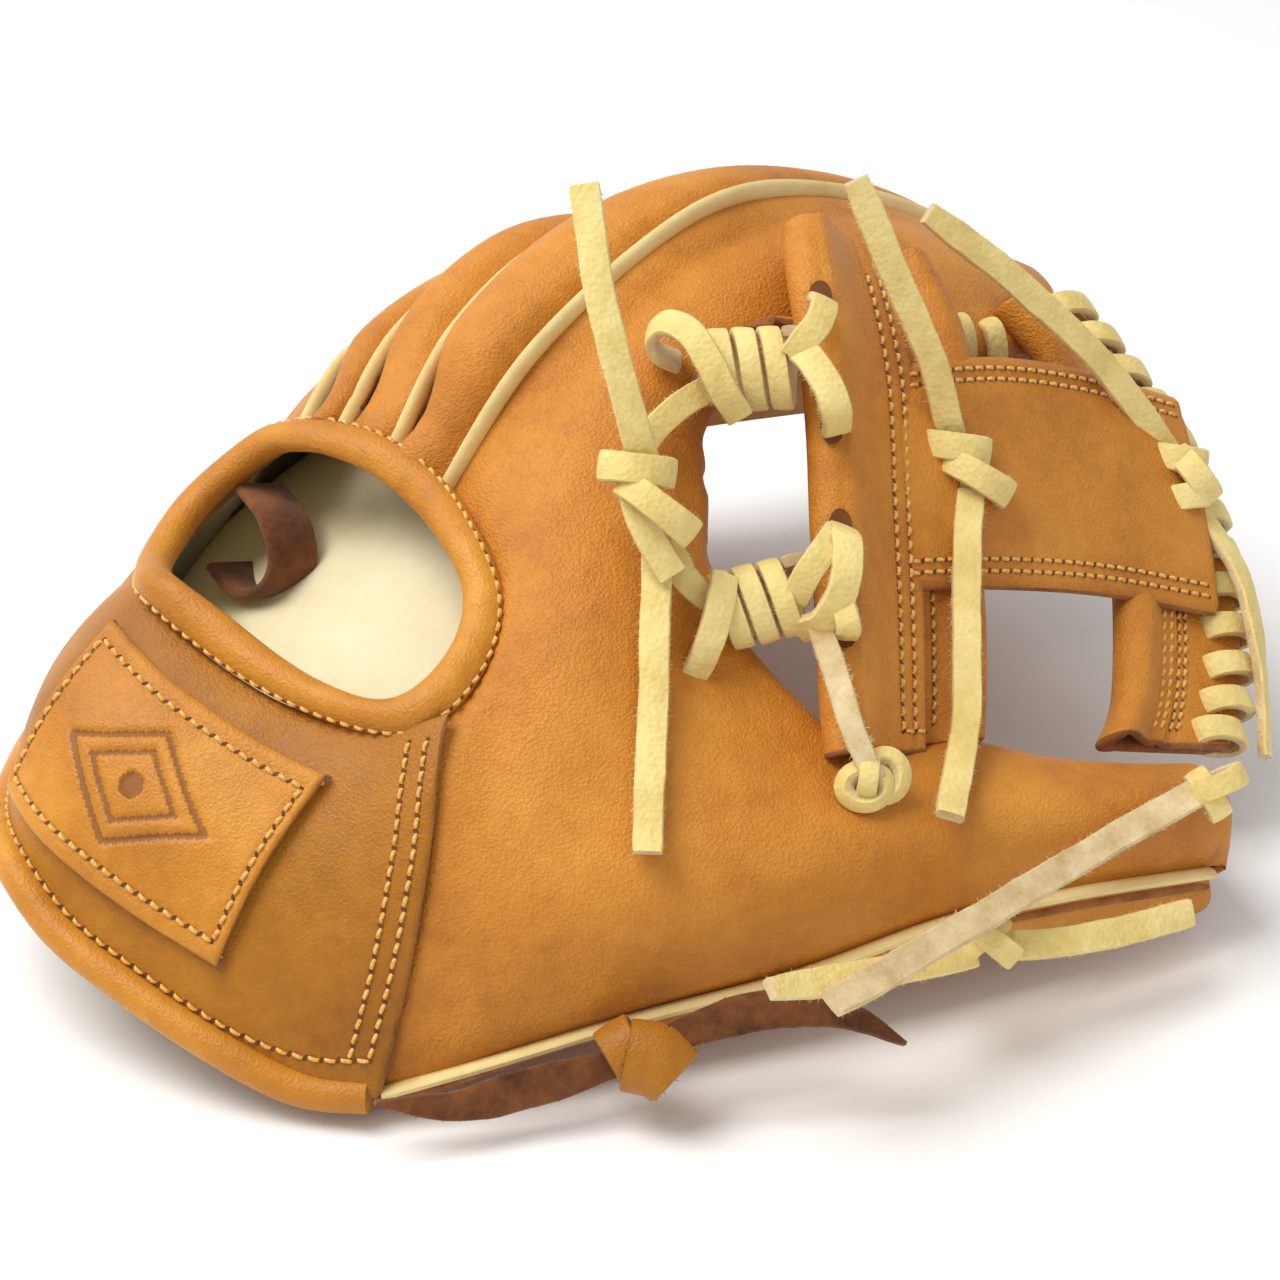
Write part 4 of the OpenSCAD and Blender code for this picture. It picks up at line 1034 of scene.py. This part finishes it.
edge, en = rim_binding()
edge, en = np.concatenate([edge, edge[:2]]), np.concatenate([en, en[:2]])
stitches("stitch_rim", edge, en, "hand", pitch=3.1, length=2.5, lean=6)

# ---------------------------------------------------------------- strap patch
PATCH_HALF = (34, 20)
PATCH_SEAM = 3.8  # stitches in from the edge


def patch_grid(nu=130, nv=84):
    g = strip_grid(patch_top, patch_low, nu, np.linspace(0, 1, nv), 5, gap=(0, 0), dip=0)
    n = normals(g)
    g = g + n * 2.6
    x = np.abs(np.linspace(-1, 1, nu))[:, None] * PATCH_HALF[0]
    y = np.abs(np.linspace(-1, 1, nv))[None] * PATCH_HALF[1]
    d1 = x / 19 + y / 12 - 1
    d2 = x / 12 + y / 7.6 - 1
    groove = (np.exp(-((d1 / 0.075) ** 2)) + 0.9 * np.exp(-((d2 / 0.11) ** 2))
              + (np.hypot(x, y) < 2.6) * 0.9)
    edge_in = np.minimum(PATCH_HALF[0] - x, PATCH_HALF[1] - y)
    g = (g - normals(g) * (0.75 * np.clip(groove, 0, 1) + 0.9 * np.exp(-edge_in / 0.9)
                           + 0.35 * np.exp(-(((edge_in - 3.6) / 1.2) ** 2)))[..., None])
    return g, groove


def settled(g, base, height):
    """Grid g lowered until it lies height above the grid base, evened out."""
    n, b = normals(base).reshape(-1, 3), base.reshape(-1, 3)
    near = np.array([((row[:, None] - b[None]) ** 2).sum(-1).argmin(-1) for row in g])
    over = ((g - b[near]) * n[near]).sum(-1) - height
    way = n[near]
    for axis in (0, 1):
        wide = np.ones(15) / 15
        ends = [(7, 7) if k == axis else (0, 0) for k in (0, 1)]
        over = np.apply_along_axis(np.convolve, axis, np.pad(over, ends, mode="edge"), wide, "valid")
        way = np.apply_along_axis(np.convolve, axis, np.pad(way, ends + [(0, 0)], mode="edge"), wide,
                                  "valid")
    return g - unit(way) * np.clip(over, 0, None)[..., None]


PATCH, groove = patch_grid()
PATCH = settled(PATCH, STRAP_G, 3.0)
BURNT = leather("debossed_leather", srgb(128, 78, 22), srgb(148, 92, 30), srgb(166, 108, 42),
                rough=(0.45, 0.6), grain=0.1)
o = sheet("patch", PATCH, 2.6, [ROLL, LINING, TAN_CUT, BURNT])
deep = [3 if groove[i, j] > 0.55 else 0 for i in range(PATCH.shape[0] - 1)
        for j in range(PATCH.shape[1] - 1)]
for k, m in enumerate(deep):
    o.data.polygons[k].material_index = m
finished(o, "hand", "tan_leather", "strap_patch")
r0, c0 = PATCH_SEAM / (2 * PATCH_HALF[0]), PATCH_SEAM / (2 * PATCH_HALF[1])
sides = ((np.linspace(r0, 1 - r0, 40), np.full(40, c0)),
         (np.full(30, 1 - r0), np.linspace(c0, 1 - c0, 30)),
         (np.linspace(1 - r0, r0, 40), np.full(40, 1 - c0)),
         (np.full(30, r0), np.linspace(1 - c0, c0, 30)))
for k, (r, c) in enumerate(sides):
    p, n = on_grid(PATCH, r, c)
    stitches("stitch_patch_%d" % k, p, n, "hand", pitch=3.0, length=2.4, rad=0.45)

# ---------------------------------------------------------------- welts
def welt(name, edge, a, b, up, body, node_name, drop=1.3, wide=1.15, high=2.3):
    edge = np.asarray(edge, float)
    p = even(edge, 1.8, False, a, b)
    up = unit(np.broadcast_to(np.asarray(up, float), p.shape))
    o = sweep(name, p - up * drop, ellipse(wide, high, 12), up, [WELT])
    return finished(o, body, "cream_lace", node_name)


for name, seam, up in (("index", index_seam, (-0.1, -0.05, 1)), ("middle", middle_seam, (0, 0.2, 1)),
                       ("ring", ring_seam, (0, 0.4, 1)), ("little", pinky_seam, (0, 0.75, 1))):
    welt("welt_" + name, seam[3:], 0.0, 1.0, up, "hand", name + "_welt")
welt("welt_edge", low_edge - [0, 0.5, 1.5], 0.0, 1.0, (0, 1, -0.1), "hand", "edge_welt")
welt("welt_thumb", thumb_outer + [-0.4, 0.3, -1.4], 0.0, 0.97, (-0.25, -0.85, 0.35), "thumb",
     "thumb_welt", drop=0.6, wide=1.3, high=2.6)
# second welt, low between the panel's crotch edge and the palm
under = np.array([[100, -31, 93], [112, -30, 91], [124, -29, 87], [136, -28, 82], [146, -26, 77]], float)
welt("welt_index_side", under, 0.0, 1.0, (-0.2, -1, 0), "hand", "index_side_lace", drop=0, wide=1.4,
     high=2.2)

# ---------------------------------------------------------------- inside the hand opening
# the finger loop's brown suede is darkened as painted shade inside the opening
p = curve(V([-33, 29, 61], [-33, 18, 59.5], [-31, 10, 64], [-29, 8, 71], [-28, 13, 78], [-27, 25, 80]),
          34)
around = unit(p - V([-30, 20, 70])[0])
finished(sweep("loop_little_finger", p, round_section(12, 2.2), around, [BROWN_SUEDE_AND_SHADE]), "hand",
         "strap_leather", "little_finger_loop")
p = curve(V([31, -116, 28], [34, -110, 28], [42, -104, 33], [46, -102, 40]), 20)
finished(sweep("loop_thumb", p, round_section(11, 2.0), (0.3, 0.5, -0.8), [STRAP]), "thumb",
         "strap_leather", "thumb_loop")
heel_line = surface(palm_net, np.array([0.0, 0.3]), np.linspace(0.4, 4.6, 40))[1]
heel_n = normals(surface(palm_net, np.array([0.0, 0.3]), np.linspace(0.4, 4.6, 40)))[1]
finished(sweep("lace_heel", heel_line - heel_n * 3.6, round_section(7, 2.4), (-0.5, 0, -1), [BROWN_SUEDE_AND_SHADE]),
         "hand", "brown_suede", "heel_lace")
for k in (1, 2, 3):
    us = np.linspace(4.4, 8.2, 20)
    top = surface(back_net, us, np.array([float(k), k + 0.01]))[:, 0] - [0, 0, 8]
    low = surface(palm_net, us, np.array([float(k), k + 0.01]))[:, 0] + [0, 0, 7]
    g = top[:, None] + (low - top)[:, None] * np.linspace(0, 1, 8)[None, :, None]
    o = finished(sheet("stall_wall_%d" % k, g, 1.2, LINED), "hand", "cream_lining")
    if k == 1:
        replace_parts(o, "stall_walls")

# ---------------------------------------------------------------- web
def layered(a, b, nu, profile, s0=0.0, s1=1.0):
    """Rows across the web from a to b: profile(s, width) gives (x, n) pairs."""
    s = np.linspace(s0, s1, nu) * (len(a) - 1)
    p, q = cat(a, s), cat(b, s)
    t = unit(np.gradient(p + q, axis=0))
    x = unit(q - p)
    n = unit(np.cross(t, x))
    w = np.linalg.norm(q - p, axis=1)
    g = []
    for i in range(nu):
        pr = np.array(profile(s[i] / (len(a) - 1), w[i]))
        g.append(p[i] + x[i] * pr[:, :1] + n[i] * pr[:, 1:])
    return np.stack(g)


def bump(x, at, wide):
    return math.exp(-(((x - at) / wide) ** 2))


def base_left(s, w):
    r = 5.6
    out = [(r * math.cos(math.radians(a)) * 0.95, r * 0.85 * math.sin(math.radians(a)))
           for a in range(280, 95, -14)]
    for x in np.linspace(0, 0.60 * w, 26):
        n = 2.2 + 3.2 * (0.5 + 0.5 * math.cos(math.pi * min(1, x / (0.38 * w))))
        n -= 0.55 * bump(x, 0.42 * w, 1.0) + 0.55 * bump(x, 0.52 * w, 1.0)
        out.append((x, n))
    return out


def base_right(s, w):
    under = math.exp(-(((s - 0.47) / 0.20) ** 4))
    crest = 1.0 + (1 - under) * 3.6
    out = []
    for x in np.linspace(0.50 * w, w, 26):
        f = x / w
        n = -0.2 + (crest + 0.2) * (0.5 - 0.5 * math.cos(math.pi * min(1, max(0, (f - 0.76) / 0.2))))
        n -= 0.5 * bump(x, 0.66 * w, 0.9) + 0.5 * bump(x, 0.75 * w, 0.9)
        out.append((x, n))
    r = 4.8
    for a in range(78, -100, -13):
        out.append((w + r * math.cos(math.radians(a)) * 0.95,
                    (crest if a > 0 else r * 0.9) * math.sin(math.radians(a))))
    return out


def flat_back(s, w):
    return [(x, -4.4) for x in np.linspace(w + 0.5, 0, 10)]


B_LEFT = layered(base_roll_crotch, base_roll_window, 70, base_left)
B_RIGHT = layered(base_roll_crotch, base_roll_window, 70, base_right, 0.0, 0.97)
o = finished(sheet("web_base_front", B_LEFT, 2.2, WEB), "hand", "tan_leather", "web_base")
finished(sheet("web_base_rear", B_RIGHT, 2.2, WEB), "hand", "tan_leather")
finished(sheet("web_base_back", layered(base_roll_crotch, base_roll_window, 40, flat_back), 2.0, WEB),
         "hand", "tan_leather")


def web_stitches(name, fraction, s0, s1, profile):
    def spot(s, w):
        pr = np.array(profile(s, w))
        x = fraction * w
        k = np.where((pr[:-1, 0] <= x) & (pr[1:, 0] >= x))[0]
        k = k[0] if len(k) else int(np.argmin(np.abs(pr[:, 0] - x)))
        f = (x - pr[k, 0]) / max(1e-6, pr[min(k + 1, len(pr) - 1), 0] - pr[k, 0])
        return [(x, pr[k, 1] + (pr[min(k + 1, len(pr) - 1), 1] - pr[k, 1]) * f), (x, pr[k, 1] + 1)]
    g = layered(base_roll_crotch, base_roll_window, 80, spot, s0, s1)
    stitches(name, g[:, 0], g[:, 1] - g[:, 0], "hand", pitch=2.9, length=2.3, lean=7)


BASE_SEAMS = ((0.42, 0.10, 0.95, base_left), (0.52, 0.10, 0.95, base_left),
              (0.66, 0.60, 0.93, base_right), (0.75, 0.60, 0.93, base_right))
for k, (fraction, s0, s1, profile) in enumerate(BASE_SEAMS):
    web_stitches("stitch_base_%d" % k, fraction, s0, s1, profile)
ends = layered(base_roll_crotch, base_roll_window, 3, lambda s,
               w: [(x, 2.0) for x in np.linspace(0.42 * w, 0.62 * w, 20)], 0.94, 0.955)
stitches("stitch_base_end", ends[1], np.broadcast_to(CAM, ends[1].shape), "hand", pitch=2.9)

# post: folded leather, its edges rounded, tucked under the flange of the base bar
POST_SEAMS = (3.0, 5.6)  # in from either edge


def post_grid(nu=56, nv=30):
    s = np.linspace(-0.16, 3.22, nu)
    lo, hi = [], []
    for c, out in ((post_lower, lo), (post_upper, hi)):
        for v in s:
            if v < 0:
                out.append(c[0] + (c[1] - c[0]) * v)
            elif v > 3:
                out.append(c[3] + (c[3] - c[2]) * (v - 3))
            else:
                out.append(cat(c, [v])[0])
    lo, hi = np.array(lo), np.array(hi)
    v = np.linspace(0, 1, nv)
    g = lo[:, None] + (hi - lo)[:, None] * v[None, :, None]
    n = normals(g)
    rise = np.clip((s + 0.16) / 0.5, 0, 1)
    rise = 0.6 + 2.2 * rise * rise * (3 - 2 * rise)
    h = rise[:, None] + 1.2 * np.sin(np.pi * v)[None]
    w = np.linalg.norm(hi - lo, axis=1).mean()
    for at in POST_SEAMS:
        h = (h - 0.4 * (np.exp(-(((v * w - at) / 0.9) ** 2))
                        + np.exp(-((((1 - v) * w - at) / 0.9) ** 2)))[None])
    h = h - 1.3 * (np.exp(-((v * w / 1.3) ** 2)) + np.exp(-(((1 - v) * w / 1.3) ** 2)))[None]
    return g + n * h[..., None], w


POST, post_w = post_grid()
finished(sheet("web_post_panel", POST, 4.0, TWO_GRAINS), "hand", "tan_leather", "web_post")
for k, at in enumerate(POST_SEAMS + tuple(post_w - d for d in POST_SEAMS)):
    p, n = on_grid(POST, np.linspace(0.06, 0.975, 90), np.full(90, at / post_w))
    stitches("stitch_post_%d" % k, p, n, "hand", pitch=3.0, length=2.4, lean=7)


TOP_SEAMS = (8.2, 10.4, 13.6, 15.6)  # in from the rolled edge


def top_front(s, w):
    r = 5.4
    under = math.exp(-(((s - 0.36) / 0.22) ** 4))
    crest = 1.6 + (1 - under) * 3.4
    out = [(r * math.cos(math.radians(a)) * 0.95,
            (crest if a < 180 else r * 0.85) * math.sin(math.radians(a))) for a in range(280, 95, -14)]
    for x in np.linspace(0, w + 1.5, 34):
        n = 1.4 + (crest - 1.4) * (0.5 + 0.5 * math.cos(math.pi * min(1, x / 8.5)))
        for f in TOP_SEAMS:
            n -= 0.45 * bump(x, f, 0.8)
        n -= 0.9 * (1 if x > 12.0 else 0)
        out.append((x, n))
    return out


TOP = layered(top_roll, lace_edge, 60, top_front)
finished(sheet("web_top_front", TOP, 2.4, WEB), "hand", "tan_leather", "web_top")
finished(sheet("web_top_back", layered(top_roll, lace_edge, 40, lambda s,
                                       w: [(x, -4.2) for x in np.linspace(w + 1.0, 0, 10)]), 2.0,
               WEB), "hand", "tan_leather")


def top_stitches(name, x_mm, s0, s1):
    def spot(s, w):
        return [(x_mm, 0.9 if x_mm < 12 else 0.1), (x_mm, 5)]
    g = layered(top_roll, lace_edge, 60, spot, s0, s1)
    stitches(name, g[:, 0], g[:, 1] - g[:, 0], "hand", pitch=2.9, length=2.3, lean=7)


for k, x in enumerate(TOP_SEAMS):
    top_stitches("stitch_top_%d" % k, x, 0.62, 0.95)
    top_stitches("stitch_top_up_%d" % k, x, 0.06, 0.22)

# lacing round the free edge
WRAPS = 13
for k in range(WRAPS):
    s = 0.2 + k * 5.6 / (WRAPS - 1)
    c = cat(lace_edge, [s])[0]
    inward = unit(cat(top_roll, [s])[0] - c)
    along = unit(cat(lace_edge, [min(6, s + 0.1)])[0] - cat(lace_edge, [s - 0.1])[0])
    out = unit(np.cross(inward, along))
    out = out if out @ CAM > 0 else -out
    a = np.arange(20) * 2 * math.pi / 20
    lean = along * 1.2
    r = (-inward[None] * (6.2 * np.cos(a))[:, None] + out[None] * (3.9 * np.sin(a))[:, None]
         + lean[None] * np.cos(a)[:, None])
    rr = -inward[None] * (np.cos(a) / 6.2)[:, None] + out[None] * (np.sin(a) / 3.9)[:, None]
    o = lace("edge_wrap_%02d" % k, c + inward * 2.4 + r, unit(rr), "hand", w=5.6, closed=True, fuzz=0.5)
    if k == 0:
        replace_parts(o, "web_edge_lace")

# lace holes: flat dark discs painted as the shade inside the holes
LACE_HOLES = (([66.6, -46.9, 126.4], (-0.34, -0.41, 0.84)), ([56.2, -65.1, 107.0], (-0.39, -0.54, 0.75)),
              ([48.3, -78.6, 92.6], (-0.41, -0.58, 0.7)), ([40.5, -91.0, 77.2], (-0.4, -0.58, 0.71)))
for k, (c, up) in enumerate(LACE_HOLES):
    up = unit(np.array(up))
    a = np.arange(16) * 2 * math.pi / 16
    e1 = unit(np.cross(up, RIGHT))
    e2 = np.cross(up, e1)
    ring = (np.array(c) + up * 0.5 + e1[None] * (3.8 * np.cos(a))[:, None]
            + e2[None] * (2.4 * np.sin(a))[:, None])
    o = mesh("lace_hole_%d" % k, ring, [tuple(range(16))], [HOLE_SHADE])
    finished(o, "hand", "tan_leather")

# fingertip lace
tips = V([160, 0, 84], [172, 12, 80], [182, 28, 66], [184, 42, 54], [168, 56, 50], [140, 64, 47],
         [114, 73, 42])
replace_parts(lace("lace_fingertips", tips, (1, 0, 0.4), "hand"), "fingertip_lace")
for k in range(4):
    c = np.array([[98, -33, 99], [108, -32, 98], [118, -31, 96], [128, -30, 92]][k], float)
    band("index_wrap_%d" % k, c, (1, 0, -0.3), (-0.3, -1, 0.1), 6.0, 3.2, 20, "hand", w=5.0, fuzz=0.4)

# ---------------------------------------------------------------- floor and light
# name, place in metres, size, watts, colour
LIGHTS = (("key", (-0.62, 0.2, 1.4), 0.9, 18, (1, 0.985, 0.955)),
          ("fill", (0.1, -1.3, 1.0), 1.4, 1.0, (1, 0.99, 0.975)),
          ("back", (-0.5, 1.2, 1.0), 1.2, 5, (1, 1, 1)))


def stage():
    m, t, b = new_material("floor")
    n = node(t, "ShaderNodeTexNoise", Scale=3.0, Detail=2.0)
    t.links.new(node(t, "ShaderNodeTexCoord").outputs["Object"], n.inputs["Vector"])
    t.links.new(ramp(t, n.outputs["Fac"], [(0.3, (0.955, 0.955, 0.96, 1)),
                                           (0.7, (0.97, 0.97, 0.97, 1))]), b.inputs["Base Color"])
    b.inputs["Roughness"].default_value = 0.6
    bpy.ops.mesh.primitive_plane_add(size=12, location=(0, 0, -0.0005))
    floor = bpy.context.object
    floor.name = "floor"
    floor.data.materials.append(m)
    world = bpy.data.worlds.new("studio")
    bpy.context.scene.world = world
    world.use_nodes = True
    bg = world.node_tree.nodes["Background"]
    bg.inputs["Color"].default_value = (1.0, 1.0, 1.0, 1)
    bg.inputs["Strength"].default_value = 0.56
    for name, loc, size, power, tone in LIGHTS:
        light = bpy.data.lights.new(name, "AREA")
        light.shape = "SQUARE"
        light.size, light.energy, light.color = size, power, tone
        o = bpy.data.objects.new(name, light)
        bpy.context.scene.collection.objects.link(o)
        o.location = loc
        o.rotation_mode = "QUATERNION"
        o.rotation_quaternion = (Vector((0, 0, 0.06)) - Vector(loc)).to_track_quat("-Z", "Y")


stage()
bpy.context.scene.view_settings.view_transform = "Standard"
